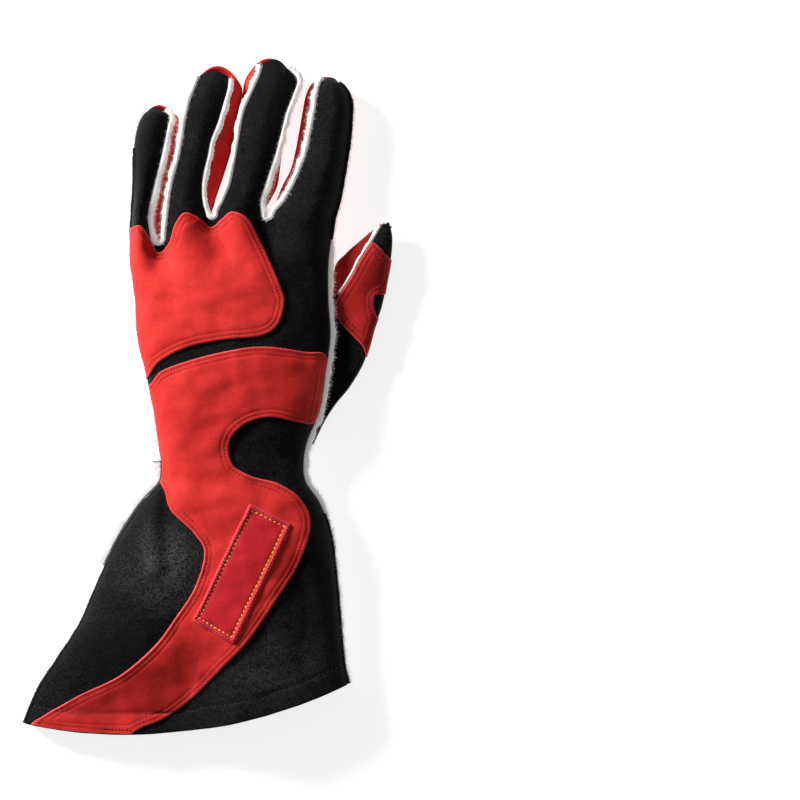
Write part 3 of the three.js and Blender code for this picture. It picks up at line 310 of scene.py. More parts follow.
def root_columns(side):
    """Columns across the finger roots: number, x, y, finger or slot, share across it."""
    even = np.linspace(0, 1, CELLS + 1)
    share = 0.4 * even + 0.6 * (1 - np.cos(np.pi * even)) / 2
    columns = []
    start = 0
    for index, finger in enumerate(FINGERS):
        left, right = np.array(finger[side][0], float), np.array(finger[side][1], float)
        knots = finger_shares(finger)
        numbers = np.interp(share, knots, start + np.arange(len(knots)))
        for s, k in zip(share, numbers):
            x, y = mix(left, right, s)
            columns.append((k, x, y, index, s))
        start += finger["cells"]
        if index < 3:
            after = FINGERS[index + 1]
            xs = (3, 2) if side == "back" else (5, 4)
            bends = [(finger["rows"][0][xs[0]], finger["rows"][0][1]), right, SLOTS[side][index],
                     after[side][0], (after["rows"][0][xs[1]], after["rows"][0][0])]
            steps = np.linspace(1, 3, ARC_CELLS + 1)[1:-1]
            for (x, y), t in zip(through(bends, steps), steps):
                columns.append((start + t - 1, x, y, -1 - index, (t - 1) / 2))
            start += 2
    return np.array(columns)


def hand_share(number):
    """Share across the hand of a column number, closer together near both seams."""
    t = number / LAST_NUMBER
    return mix(t, (1 - np.cos(np.pi * t)) / 2, 0.55)


def finger_places(count):
    """Row numbers up a finger, closer together towards the tip."""
    t = np.linspace(0, 1, FINGER_ROWS + 1)[1:]
    return 1 + (count - 1) * mix(t, np.sin(t * np.pi / 2), 0.45)


def finger_block(finger, side, share, below, base):
    """Points of one finger from root to tip, one row more for each step up."""
    rows = np.array(finger["rows"], float)
    count = len(rows)
    controls = [below, base]
    for index, (yl, yr, tl, tr, pl, pr) in enumerate(rows):
        from_tip = min(count - 1 - index, len(FINGER_HEIGHTS) - 1)
        crown, edge, seam, belly, rim = FINGER_HEIGHTS[from_tip]
        xl, xr = (tl, tr) if side == "back" else (pl, pr)
        bow = finger["bows"][0 if side == "back" else 1]
        bow *= {count - 1: 1.0, count - 2: 0.5}.get(index, 0.0)
        if side == "back":
            z = finger_back_z(finger, share, crown, edge, seam)
        else:
            z = finger_palm_z(finger, share, belly, rim, seam, xr - xl)
        controls.append(np.stack([mix(xl, xr, share),
                                  mix(yl, yr, share) + bow * 4 * share * (1 - share), z], axis=1))
    return through(controls, finger_places(count + 1))


def add_fingers(side, columns, hand):
    """Finger rows on top of the hand's rows; the columns between fingers stay empty."""
    block = np.full((FINGER_ROWS, len(columns), 3), np.nan)
    for index, finger in enumerate(FINGERS):
        at = np.where(columns[:, 3] == index)[0]
        points = finger_block(finger, side, columns[at, 4], hand[ROW_BELOW, at], hand[0, at])
        block[:, at] = points[::-1]
    return np.concatenate([block, hand])


def grid_quads(points, upward):
    """Faces over a grid wherever all four corners have a point."""
    rows, wide = points.shape[:2]
    number = np.arange(rows * wide).reshape(rows, wide)
    quads = np.stack([number[:-1, :-1], number[1:, :-1], number[1:, 1:], number[:-1, 1:]], axis=-1)
    good = ~np.isnan(points[..., 0])
    full = good[:-1, :-1] & good[1:, :-1] & good[1:, 1:] & good[:-1, 1:]
    quads = quads[full]
    return quads if upward else quads[:, ::-1]


def marks(points, *places):
    """Which points of a grid lie at the given rows and columns, as a flat list."""
    marked = np.zeros(points.shape[:2], bool)
    for place in places:
        marked[place] = True
    return marked.ravel()


def cut_columns(columns):
    """Which columns lie on a finger's cut edges or in the slots between the fingers."""
    return (columns[:, 3] < 0) | (columns[:, 4] == 0) | (columns[:, 4] == 1)


@np.errstate(invalid="ignore")
def vertex_normals(points, quads, level, upright):
    """Normals of a sheet; they are level along outseams and upright along cut edges."""
    points = points.reshape(-1, 3)
    a, b, c, d = (points[quads[:, k]] for k in range(4))
    face = np.cross(c - a, d - b)
    face /= np.linalg.norm(face, axis=1, keepdims=True) + 1e-12
    normals = np.zeros_like(points)
    for k in range(4):
        np.add.at(normals, quads[:, k], face)
    normals[level, 2] = 0
    normals /= np.linalg.norm(normals, axis=1, keepdims=True) + 1e-12
    sign = np.sign(normals[upright, 2])
    normals[upright] = 0
    normals[upright, 2] = np.where(sign == 0, 1, sign)
    return normals


def make_object(name, points, faces, material, uv=None):
    """A mesh from points in millimetres, in its place in the frame."""
    mesh = bpy.data.meshes.new(name)
    mesh.from_pydata(((points - SHIFT) * 0.001).tolist(), [], faces)
    mesh.polygons.foreach_set("use_smooth", [True] * len(mesh.polygons))
    if uv is not None:
        layer = mesh.uv_layers.new(name="cloth")
        layer.data.foreach_set("uv", np.asarray(uv, np.float32).ravel())
    mesh.materials.append(material)
    mesh.update()
    piece = bpy.data.objects.new(name, mesh)
    scene.collection.objects.link(piece)
    return piece


def boundary_edges(faces):
    """Edges that only one face uses, in that face's direction."""
    pairs = {}
    for face in faces:
        for p, q in zip(face, face[1:] + face[:1]):
            pairs[(p, q)] = True
    return [pair for pair in pairs if (pair[1], pair[0]) not in pairs]


def cloth_wall(name, points, quads, normals, wall, material, uv=None):
    """Closed wall under a sheet: both faces and a rim that is slightly rounded."""
    points = points.reshape(-1, 3)
    used = np.unique(quads)
    renumber = np.full(len(points), -1)
    renumber[used] = np.arange(len(used))
    quads = renumber[quads]
    top, normals = points[used], normals[used]
    wall = np.broadcast_to(wall, (len(renumber),))[used]
    low = top - normals * wall[:, None]
    count = len(top)
    faces = quads.tolist()
    edges = boundary_edges(faces)
    outward = np.zeros_like(top)
    for p, q in edges:
        side = np.cross(top[q] - top[p], normals[p] + normals[q])
        side /= np.linalg.norm(side) + 1e-12
        outward[p] += side
        outward[q] += side
    rim = sorted({p for edge in edges for p in edge})
    place = {p: i for i, p in enumerate(rim)}
    out = outward[rim] / (np.linalg.norm(outward[rim], axis=1, keepdims=True) + 1e-12)
    middle = (top[rim] + low[rim]) / 2
    half_wall = (top[rim] - low[rim]) / 2
    reach = np.linalg.norm(half_wall, axis=1, keepdims=True) * 2 * RIM_BULGE
    rings = [middle + half_wall * math.cos(a) + out * reach * math.sin(a)
             for a in (math.pi / 4, math.pi / 2, 3 * math.pi / 4)]
    bottom = (quads[:, ::-1] + count).tolist()
    sides = []
    for p, q in edges:
        first = [p] + [2 * count + k * len(rim) + place[p] for k in range(3)] + [p + count]
        second = [q] + [2 * count + k * len(rim) + place[q] for k in range(3)] + [q + count]
        for k in range(4):
            sides.append([second[k], first[k], first[k + 1], second[k + 1]])
    every = np.concatenate([top, low] + rings)
    all_uv = None
    if uv is not None:
        by_vertex = np.zeros((len(renumber), 2))
        by_vertex[used[quads.ravel()]] = uv.reshape(-1, 2)
        flat = by_vertex[used]
        side_uv = []
        for p, q in edges:
            side_uv += [flat[q], flat[p], flat[p], flat[q]] * 4
        all_uv = np.concatenate([uv.reshape(-1, 2), uv[:, ::-1].reshape(-1, 2), np.array(side_uv)])
    return make_object(name, every, faces + bottom + sides, material, all_uv)


def cloth_uv(block):
    """Lengths along and across a block of cloth, in metres, from its middle column."""
    across = np.linalg.norm(np.diff(block, axis=1), axis=2)
    u = np.concatenate([np.zeros((len(block), 1)), np.cumsum(across, axis=1)], axis=1)
    u = u - u[:, block.shape[1] // 2, None]
    along = np.linalg.norm(np.diff(block, axis=0), axis=2).mean(axis=1)
    v = np.concatenate([[0], np.cumsum(along)])
    return np.dstack([u, np.repeat(v[:, None], block.shape[1], axis=1)]) * 0.001


def panel_uv(points, columns, quads):
    """Corner lengths for a panel with fingers, each finger laid out on its own."""
    wide = len(columns)
    hand = np.zeros(points.shape[:2] + (2,))
    hand[FINGER_ROWS:] = cloth_uv(points[FINGER_ROWS:])
    finger = hand.copy()
    for index in range(4):
        at = np.where(columns[:, 3] == index)[0]
        finger[:FINGER_ROWS + 1, at] = cloth_uv(points[:FINGER_ROWS + 1, at])
    on_finger = quads.min(axis=1) // wide < FINGER_ROWS
    flat_hand, flat_finger = hand.reshape(-1, 2), finger.reshape(-1, 2)
    return np.where(on_finger[:, None, None], flat_finger[quads], flat_hand[quads])


# places on the gauntlet where painted highlights lighten the knit's colour: x, y, radius, gain
PAINTED_HIGHLIGHTS = [(-22, -98, 37, 7.0), (32, -146, 48, 3.2)]
PAINTED_HIGHLIGHT_HEIGHT = 18


def multiply(material, first, second):
    return add_node(material, "ShaderNodeMix", {0: 1.0, 6: first, 7: second},
                    data_type="RGBA", blend_type="MULTIPLY").outputs[2]


def calculate(owner, operation, first, second):
    return add_node(owner, "ShaderNodeMath", {0: first, 1: second},
                    operation=operation).outputs[0]


def bump(material, height, strength, distance):
    feeds = {"Strength": strength, "Distance": distance, "Height": height}
    return add_node(material, "ShaderNodeBump", feeds).outputs["Normal"]


def knit_material(name):
    """Black ribbed knit with a little grey lint on it, and painted highlights on the gauntlet."""
    material = new_material(name, (0.005, 0.005, 0.0053), 0.42)
    uv = add_node(material, "ShaderNodeUVMap", {}, uv_map="cloth").outputs["UV"]
    place = object_coordinates(material)
    ribs, loops = (
        add_node(material, "ShaderNodeTexWave",
                 {"Scale": 1 / pitch, "Distortion": bend, "Detail": 1.0, "Vector": uv},
                 wave_type="BANDS", bands_direction=way).outputs["Fac"]
        for pitch, bend, way in ((0.0034, 1.2, "X"), (0.0027, 1.6, "Y")))
    knit = calculate(material, "MULTIPLY", ribs, loops)
    height = calculate(material, "ADD", knit, noise(material, place, 2600.0, 4.0))
    tone = noise_spread(material, place, 0.03, (0.0018, 0.0018, 0.0019), (0.0042, 0.0042, 0.0045))
    lint = noise_spread(material, place, 0.0013, (0.08, 0.08, 0.08), (4.0, 4.0, 4.0), 8.0)
    tone = multiply(material, tone, lint)
    # painted highlights: the knit's colour is multiplied up round each place, standing in for light on
    # the gauntlet's slopes
    for x, y, radius, gain in PAINTED_HIGHLIGHTS:
        away = add_node(material, "ShaderNodeVectorMath", {
            0: place, 1: (np.array([x, y, PAINTED_HIGHLIGHT_HEIGHT]) - SHIFT) * 0.001}, operation="DISTANCE")
        highlight_gain = add_node(material, "ShaderNodeMapRange", {
            "Value": away.outputs["Value"], "From Min": radius * 0.001, "From Max": 0.0,
            "To Min": 1.0, "To Max": gain}, interpolation_type="SMOOTHSTEP")
        tone = multiply(material, tone, highlight_gain.outputs["Result"])
    feed(shader_of(material), {"Specular IOR Level": 0.05, "Base Color": tone,
                               "Normal": bump(material, height, 0.75, 0.0004)})
    return material


def new_tree(name, source, amounts, material, result):
    """A tree that makes one geometry from another, with amounts, a seed and a material."""
    tree = bpy.data.node_groups.new(name, "GeometryNodeTree")
    inputs = [(source, "Geometry"), *((amount, "Float") for amount in amounts),
              ("Seed", "Int"), (material, "Material")]
    for socket, kind in inputs:
        tree.interface.new_socket(socket, in_out="INPUT", socket_type=f"NodeSocket{kind}")
    tree.interface.new_socket(result, in_out="OUTPUT", socket_type="NodeSocketGeometry")
    return tree


def stitch_tree():
    """Stitches along the edges of a line mesh, each a small flattened bead of thread."""
    amounts = ("Pitch", "Stitch length", "Stitch width", "Stitch height")
    tree = new_tree("sewn_stitches", "Line", amounts, "Thread", "Stitches")
    given = add_node(tree, "NodeGroupInput", {}).outputs
    curve = add_node(tree, "GeometryNodeMeshToCurve", {"Mesh": given["Line"]})
    even = add_node(tree, "GeometryNodeResampleCurve",
                    {"Curve": curve.outputs["Curve"], "Length": given["Pitch"]}, mode="LENGTH")
    bead = add_node(tree, "GeometryNodeMeshUVSphere", {"Segments": 8, "Rings": 4, "Radius": 0.5})
    size = add_node(tree, "ShaderNodeCombineXYZ", {
        "X": given["Stitch length"], "Y": given["Stitch width"], "Z": given["Stitch height"]})
    vary = add_node(tree, "FunctionNodeRandomValue", {2: 0.86, 3: 1.12, "Seed": given["Seed"]},
                    data_type="FLOAT")
    scaled = add_node(tree, "ShaderNodeVectorMath",
                      {0: size.outputs["Vector"], "Scale": vary.outputs[1]}, operation="SCALE")
    tangent = add_node(tree, "GeometryNodeInputTangent", {})
    along = add_node(tree, "FunctionNodeAlignRotationToVector",
                     {"Vector": tangent.outputs["Tangent"]}, axis="X")
    up = add_node(tree, "GeometryNodeInputNamedAttribute", {"Name": "up"}, data_type="FLOAT_VECTOR")
    upright = add_node(tree, "FunctionNodeAlignRotationToVector",
                       {"Rotation": along.outputs["Rotation"], "Vector": up.outputs["Attribute"]},
                       axis="Z", pivot_axis="X")
    place = add_node(tree, "GeometryNodeInstanceOnPoints", {
        "Points": even.outputs["Curve"], "Instance": bead.outputs["Mesh"],
        "Rotation": upright.outputs["Rotation"], "Scale": scaled.outputs["Vector"]})
    real = add_node(tree, "GeometryNodeRealizeInstances", {"Geometry": place.outputs["Instances"]})
    smooth = add_node(tree, "GeometryNodeSetShadeSmooth", {"Geometry": real.outputs["Geometry"]})
    finish = add_node(tree, "GeometryNodeSetMaterial",
                      {"Geometry": smooth.outputs["Geometry"], "Material": given["Thread"]})
    add_node(tree, "NodeGroupOutput", {"Stitches": finish.outputs["Geometry"]})
    return tree


SEWN = stitch_tree()


def run_nodes(piece, tree, values):
    """Runs a tree on a piece and leaves its result as the piece's plain mesh."""
    modifier = piece.modifiers.new("made", "NODES")
    modifier.node_group = tree
    names = {item.name: item.identifier for item in tree.interface.items_tree
             if item.in_out == "INPUT"}
    for key, value in values.items():
        modifier[names[key]] = value
    shown = piece.evaluated_get(bpy.context.evaluated_depsgraph_get())
    mesh = bpy.data.meshes.new_from_object(shown)
    piece.modifiers.remove(modifier)
    mesh.name = piece.name
    piece.data = mesh
    return piece


def sew(name, rows, thread, pitch, length, width, height, seed=1):
    """Stitches along rows of (points, normals), in millimetres."""
    points, ups, edges = [], [], []
    for row, normals in rows:
        first = len(points)
        points += ((np.asarray(row) - SHIFT) * 0.001).tolist()
        ups += np.asarray(normals).tolist()
        edges += [(first + k, first + k + 1) for k in range(len(row) - 1)]
    mesh = bpy.data.meshes.new(name)
    mesh.from_pydata(points, edges, [])
    mesh.attributes.new("up", "FLOAT_VECTOR", "POINT")
    mesh.attributes["up"].data.foreach_set("vector", np.array(ups, np.float32).ravel())
    piece = bpy.data.objects.new(name, mesh)
    scene.collection.objects.link(piece)
    run_nodes(piece, SEWN, {"Pitch": pitch * 0.001, "Stitch length": length * 0.001,
                            "Stitch width": width * 0.001, "Stitch height": height * 0.001,
                            "Seed": seed, "Thread": thread})
    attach(piece, "root")
    return piece


def on_face(points, normals, chosen, lift=0.1):
    """A row for stitches: the chosen points of a cloth, lifted a little, and their normals."""
    return points[chosen] + normals[chosen] * lift, normals[chosen]


def thread_material(name, dark, light):
    material = new_material(name, mix(np.array(dark), np.array(light), 0.5), 0.6, 0.1)
    place = object_coordinates(material)
    twist = noise(material, place, 4200.0, 2.0)
    feed(shader_of(material), {"Base Color": noise_spread(material, place, 0.0008, dark, light),
                               "Normal": bump(material, twist, 0.4, 0.0001)})
    return material


black_knit = knit_material("black_knit")
black_thread = thread_material("black_thread", (0.006, 0.006, 0.007), (0.02, 0.02, 0.022))

back_columns = root_columns("back")
places = np.linspace(0, len(HAND) - 1, HAND_ROWS + 1)[:, None]
row = through(HAND, places[:, 0])[:, None, :]
number, root_x, root_y, root_part, root_share = back_columns.T
blend = smoothstep(places / 1.9)
root_u = (root_x - HAND[0, LX]) / (HAND[0, RX] - HAND[0, LX])
u = mix(root_u, hand_share(number), blend)
drop = (root_y - mix(HAND[0, LY], HAND[0, RY], root_u)) * (1 - blend)
x = mix(row[..., LX], row[..., RX], u)
y = mix(row[..., LY], row[..., RY], u) + drop + row[..., BOW] * 4 * u * (1 - u)
seam = np.where(u < 0.5, row[..., SEAM_L], row[..., SEAM_R])
arch = np.clip(1 - np.abs(2 * u - 1) ** HAND_CURVE, 0, 1) ** (1 / HAND_CURVE)
# the gauntlet lies flatter towards its lower corner on the little finger's side
arch = arch * (1 - 0.52 * smoothstep((-124 - y) / 50) * smoothstep((20 - x) / 36))
hand_z = seam + (row[..., CROWN] - seam) * arch
finger_z = np.zeros_like(hand_z)
for index in range(-3, 4):
    at = root_part == index
    if index < 0:
        finger_z[:, at] = SLOT_HEIGHT + 0.3 * np.abs(2 * root_share[at] - 1) ** 2
    else:
        finger_z[:, at] = finger_back_z(FINGERS[index], root_share[at], ROOT_CROWN, ROOT_EDGE,
                                        seam[:, at])
edge = np.clip(np.minimum(u, 1 - u) * 8, 0, 1)
z = mix(finger_z, hand_z, blend) - fold_depth(BACK_FOLDS, x, y) * edge
from_hem = np.hypot(x - x[-1], y - y[-1])
z += 0.45 * smoothstep((HEM_WIDTH - from_hem) / 1.6) * edge
z -= 0.75 * np.exp(-((from_hem - HEM_WIDTH) / 1.1) ** 2) * edge
z += (0.42 * ripple(x, y, 34, 5) + 0.16 * ripple(x, y, 11, 6)) * edge * blend
back_points = add_fingers("back", back_columns, np.stack([x, y, z], axis=-1))
shape = back_points[:FINGER_ROWS]
share = back_columns[:, 4]
soft = np.where(back_columns[:, 3] >= 0, np.sin(np.pi * share), 0)
soft = soft * np.linspace(0.2, 1, FINGER_ROWS)[:, None]
shape[..., 2] += soft * (0.45 * ripple(shape[..., 0], shape[..., 1], 21, 7)
                         + 0.18 * ripple(shape[..., 0], shape[..., 1], 8, 8))
back_flat = back_points.reshape(-1, 3)
back_quads = grid_quads(back_points, True)
wide = len(back_columns)
outseams = marks(back_points, np.s_[:, 0], np.s_[:, -1])
cut_edges = marks(back_points, np.s_[:FINGER_ROWS + 1, cut_columns(back_columns)], 0)
back_normals = vertex_normals(back_points, back_quads, outseams, cut_edges & ~outseams)
hem_more = np.zeros(back_points.shape[:2])
hem_more[FINGER_ROWS:] = HEM_EXTRA * smoothstep((HEM_WIDTH - from_hem) / 1.5) * edge
back_panel = cloth_wall("back_of_glove", back_points, back_quads, back_normals,
                        KNIT_WALL + hem_more.ravel(), black_knit,
                        panel_uv(back_points, back_columns, back_quads))
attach(back_panel, "root")
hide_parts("back_panel")

hem_column = np.abs(from_hem - HEM_WIDTH).argmin(axis=0) + FINGER_ROWS
inner_columns = np.arange(3, wide - 3)
hem_ids = hem_column[inner_columns] * wide + inner_columns
hem_stitches = sew("hem_stitches", [on_face(back_flat, back_normals, hem_ids)], black_thread,
                   3.0, 2.2, 0.6, 0.5)

# Palm panel: red suede for the palm and the fronts of all four fingers, cut in one with the
# cuff edge gathered on elastic at the wrist. On the right it ends at the seam of the thumb.
SUEDE_WALL = 1.2
PALM_Z = 1.55
EDGE_ROUND = 10
FINGER_ROUND = 6
GATHER_HEIGHT = 1.3
PALM_SPLIT = 12
PALM_WRIST_Y = -28
OUTSEAM_HEIGHT = 9
LOWEST_PALM = 0.35
# at the finger roots: height of the cut edges, and width that a finger's rounding is drawn for
ROOT_RIM = 4.4
ROOT_WIDTH = 22
# left end of the line that parts the palm's upper rows from its lower rows
BEND_LEFT = (-41, 56)
SEAM_HALF = 1.3
# how far inside the panel's edge its line of stitches runs
SEAM_IN = 2.6
UPPER_ROWS = 44
LOWER_ROWS = 84
# gusset seam x, y, z, middle of the face x, y, z, seam to the thumb's back x, y, z
THUMB_INNER = np.array([
    (29.6, -25.5, 3.5, 31.2, -25.5, 3.5, 34.2, -26.3, 3.5),
    (31.5, -3, 2.4, 36, -3.4, 2.4, 40.5, -4, 2.4),
    (28.5, 11, 1.8, 36.2, 9, 1.7, 44, 6.5, 1.9),
    (26, 25, 1.6, 38.5, 22, 1.5, 50.5, 18.5, 1.6),
    (25, 38, 1.5, 42.5, 34.5, 1.5, 59, 30.5, 1.5),
    (27, 50.5, 1.5, 48.5, 46, 1.5, 68.5, 41, 1.5),
    (33.5, 57.5, 1.5, 54.5, 52, 1.5, 77, 49.5, 1.5),
    (44.5, 60, 1.6, 62, 54, 1.5, 84, 56, 1.5),
    (58, 59, 2.4, 73.4, 60, 2.2, 91, 66, 1.6),
    (72, 57, 7.0, 74.4, 76, 5.6, 96.4, 76.5, 1.8),
    (83, 70.5, 9.6, 80.8, 84, 6.8, 100.6, 87, 2.4),
    (89.6, 82, 10.2, 90, 92.2, 7.4, 103, 94.5, 4.4),
    (95.5, 90.6, 9.2, 96.6, 97.6, 7.6, 104, 98, 6.6),
    (101.2, 99.8, 7.4, 102.2, 101, 7.3, 104.2, 100.9, 7.2),
])


def round_up(distance, rim, belly, reach):
    """Height that a soft edge gains towards its seam."""
    t = np.clip(distance / reach, 0, 1)
    return (rim - belly) * (1 - np.sqrt(1 - (1 - t) ** 2))


def finger_palm_z(finger, share, belly, rim, seam, width):
    """Height of a finger's palm side: flat in the middle, rising to both seams."""
    left = seam - SEAM_STACK if finger["outer"] == "left" else rim
    right = seam - SEAM_STACK if finger["outer"] == "right" else rim
    return (belly + round_up(share * width, left, belly, FINGER_ROUND)
            + round_up((1 - share) * width, right, belly, FINGER_ROUND))


def gathers(number, y):
    """Pleats of the elastic at the wrist, uneven as real ones are."""
    near = np.exp(-((y + 29) / 17) ** 2)
    uneven = 1 + 0.3 * np.sin(number * 1.7) + 0.2 * np.sin(number * 4.1 + 1)
    return -np.cos(np.pi * number) * GATHER_HEIGHT * near * np.clip(uneven, 0.5, 1.25)


def gusset_x(y):
    """Where the seam between palm and gusset runs at a height y."""
    rising = np.vstack([[28.6, -30], [33.5, -15.5], THUMB_INNER[1:6, :2]])
    return np.interp(y, rising[:, 1], rising[:, 0])


def hand_at(y, column):
    """A column of the hand's table at a height y on the left or right seam."""
    by = LY if column in (LX, SEAM_L, BELLY) else RY
    return np.interp(-y, -HAND[:, by], HAND[:, column])


def suede_material(name, dark, light, nap=1.0, shine=0.3, bands=()):
    """Split suede: mottled tone where the nap lies differently, fine soft grain.

    A band is painted shade or painted light along the glove: (y where it starts, y where it ends,
    tint).
    """
    middle = mix(np.array(dark), np.array(light), 0.5)
    material = new_material(name, middle, 0.75, 0.03, tuple(np.clip(middle * 1.6 + 0.2, 0, 1)))
    place = object_coordinates(material)
    tone = noise_spread(material, place, 0.035, dark, light, 3.0)
    brushed = noise_spread(material, place, 0.007, (0.90, 0.86, 0.86), (1.06, 1.14, 1.14), 5.0)
    specks = noise_spread(material, place, 0.0008, (0.84, 0.80, 0.80), (1.12, 1.16, 1.16), 4.0)
    # painted shade and painted light: the tone changes with the place along the glove
    for start, end, tint in bands:
        along = add_node(material, "ShaderNodeSeparateXYZ", {0: place}).outputs[1]
        step = add_node(material, "ShaderNodeMapRange", {
            "Value": along, "From Min": (start - SHIFT[1]) * 0.001,
            "From Max": (end - SHIFT[1]) * 0.001}, interpolation_type="SMOOTHSTEP")
        blend = add_node(material, "ShaderNodeMix", {
            0: step.outputs["Result"], 6: (1, 1, 1, 1), 7: (*tint, 1)}, data_type="RGBA")
        tone = multiply(material, tone, blend.outputs[2])
    tone = multiply(material, multiply(material, tone, brushed), specks)
    height = calculate(material, "ADD", noise(material, place, 1700.0, 6.0, 0.7),
                       noise(material, place, 260.0, 3.0))
    feed(shader_of(material), {"Specular IOR Level": shine, "Base Color": tone,
                               "Normal": bump(material, height, 0.5 * nap, 0.0004)})
    return material


red_suede = suede_material("red_suede", (0.58, 0.012, 0.008), (0.76, 0.026, 0.020))
red_thread = thread_material("red_thread", (0.055, 0.002, 0.003), (0.13, 0.005, 0.005))

palm_columns = root_columns("palm")
number, root_x, root_y, root_part, root_share = palm_columns.T
crease = THUMB_INNER[5:10, :2] + np.array([0, SEAM_HALF + 0.4])
crease[0] = (24.6, 53)
crease[4] = (70.6, 64.2)
run = (number - PALM_SPLIT) / (LAST_NUMBER - PALM_SPLIT) * 4
to_split = hand_share(number) / hand_share(PALM_SPLIT)
bend_x, bend_y = (np.where(number <= PALM_SPLIT, mix(BEND_LEFT[axis], crease[0, axis], to_split),
                           np.interp(run, range(5), crease[:, axis])) for axis in (0, 1))
t = np.linspace(0, 1, UPPER_ROWS + 1)[:, None]
y = mix(root_y, bend_y, t)
left_x, right_x = hand_at(y, LX), hand_at(y, RX)
share = number / LAST_NUMBER
keep = np.sin(np.pi * t) > 1e-6
x = mix(root_x, bend_x, t)
x = x + keep * ((left_x - mix(root_x[0], bend_x[0], t)) * (1 - share) ** 3
                + (right_x - mix(root_x[-1], bend_x[-1], t)) * share ** 3)
root_z = np.full(len(number), ROOT_RIM)
for index in range(4):
    at = root_part == index
    root_z[at] = finger_palm_z(FINGERS[index], root_share[at], PALM_Z, ROOT_RIM, OUTSEAM_HEIGHT,
                               ROOT_WIDTH)
flat = (PALM_Z + round_up(x - left_x, OUTSEAM_HEIGHT - SEAM_STACK, PALM_Z, EDGE_ROUND)
        + round_up(right_x - x, hand_at(y, SEAM_R) - SEAM_STACK, PALM_Z, EDGE_ROUND))
upper = np.stack([x, y, mix(root_z, flat, smoothstep(t * 1.6))], axis=-1)

t = np.linspace(0, 1, LOWER_ROWS + 1)[1:, None]
y = mix(mix(BEND_LEFT[1], crease[0, 1], to_split), PALM_WRIST_Y, t)
left_x = hand_at(y, LX)
x = mix(left_x, gusset_x(y) - SEAM_HALF, to_split)
belly = hand_at(y, BELLY)
z = belly + round_up(x - left_x, OUTSEAM_HEIGHT - SEAM_STACK, belly, EDGE_ROUND)
z += gathers(number, y) * np.clip(number, 0, 1)
lower = np.stack([x, y, z], axis=-1)
lower[:, number > PALM_SPLIT + 1e-6] = np.nan
palm_points = add_fingers("palm", palm_columns, np.concatenate([upper, lower]))
palm_points[..., 2] = np.maximum(palm_points[..., 2], LOWEST_PALM)
palm_flat = palm_points.reshape(-1, 3)
palm_quads = grid_quads(palm_points, False)
wide = len(palm_columns)
split = int(np.where(number <= PALM_SPLIT + 1e-6)[0].max())
crotch = FINGER_ROWS + UPPER_ROWS
outseams = marks(palm_points, np.s_[:, 0], np.s_[:crotch, -1])
cut_edges = marks(palm_points, np.s_[:FINGER_ROWS + 1, cut_columns(palm_columns)], 0,
                  np.s_[crotch, split:], np.s_[crotch:, split], -1)
palm_normals = vertex_normals(palm_points, palm_quads, outseams, cut_edges & ~outseams)
palm_panel = cloth_wall("palm_of_glove", palm_points, palm_quads, palm_normals, SUEDE_WALL,
                        red_suede)
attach(palm_panel, "root")
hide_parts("palm_panel")

palm_ids = np.arange(palm_points.shape[0] * wide).reshape(-1, wide)
paths = []
sides = []
for index in range(4):
    at = np.where(palm_columns[:, 3] == index)[0]
    middle_row = palm_points[FINGER_ROWS // 2, at, 0]
    left = at[np.argmax(middle_row > middle_row[0] + SEAM_IN)]
    right = at[len(at) - 1 - np.argmax(middle_row[::-1] < middle_row[-1] - SEAM_IN)]
    tip_y = palm_points[:FINGER_ROWS, at[len(at) // 2], 1]
    tip = int(np.argmax(tip_y < tip_y[0] - SEAM_IN))
    sides.append((left, right, tip))
    paths.append(palm_ids[tip, left:right + 1])
bottom_row = FINGER_ROWS + 3
for before, after in zip(sides, sides[1:]):
    paths.append(np.concatenate([palm_ids[before[2]:bottom_row, before[1]],
                                 palm_ids[bottom_row, before[1]:after[0] + 1],
                                 palm_ids[after[2]:bottom_row, after[0]][::-1]]))
paths.append(palm_ids[sides[0][2]:crotch, sides[0][0]])
paths.append(palm_ids[sides[3][2]:FINGER_ROWS + 20, sides[3][1]])
rows = [on_face(palm_flat, palm_normals, ids) for ids in paths]
palm_stitches = sew("palm_seam_stitches", rows, red_thread, 2.2, 1.6, 0.6, 0.36, 110)

# Palm side of the gauntlet: the same black knit, gathered at the wrist with the palm and open
# at the hem, with two long soft folds where the flare turns under.
GAUNTLET_START = 6.25
GAUNTLET_ROWS = 130
GAUNTLET_COLUMNS = 96
PALM_FOLDS = [(36, -40, 38, -105, -2.0, 7), (-58, -116, -60, -176, -2.4, 8)]

share = np.linspace(0, 1, GAUNTLET_COLUMNS)
number = LAST_NUMBER * mix(share, (1 - np.cos(np.pi * share)) / 2, 0.4)
places = np.linspace(GAUNTLET_START, len(HAND) - 1, GAUNTLET_ROWS + 1)
row = through(HAND, places)[:, None, :]
u = hand_share(number)
x = mix(row[..., LX], row[..., RX], u)
y = mix(row[..., LY], row[..., RY], u) + row[..., BOW] * 4 * u * (1 - u)
reach = np.minimum(x - row[..., LX], row[..., RX] - x)
belly = np.maximum(0, row[..., BELLY])
rim = np.where(u < 0.5, row[..., SEAM_L], row[..., SEAM_R]) - SEAM_STACK
inside = np.clip(np.minimum(number, LAST_NUMBER - number), 0, 1)
lift = gathers(number, y) - fold_depth(PALM_FOLDS, x, y) * np.clip(reach / 20, 0, 1)
lift += 0.3 * (1 + ripple(x, y, 30, 15)) * np.clip(reach / 12, 0, 1)
z = np.maximum(0, belly + round_up(reach, rim, belly, EDGE_ROUND) + lift * inside)
from_hem = np.hypot(x - x[-1], y - y[-1])
z += 0.3 * np.exp(-((from_hem - HEM_WIDTH) / 0.9) ** 2) * inside
gauntlet_points = np.stack([x, y, z], axis=-1)
gauntlet_quads = grid_quads(gauntlet_points, False)
outseams = marks(gauntlet_points, np.s_[:, 0], np.s_[:, -1])
gathered = marks(gauntlet_points, 0)
gauntlet_normals = vertex_normals(gauntlet_points, gauntlet_quads, outseams, gathered & ~outseams)
hem_more = HEM_EXTRA * smoothstep((HEM_WIDTH - from_hem) / 1.5) * inside
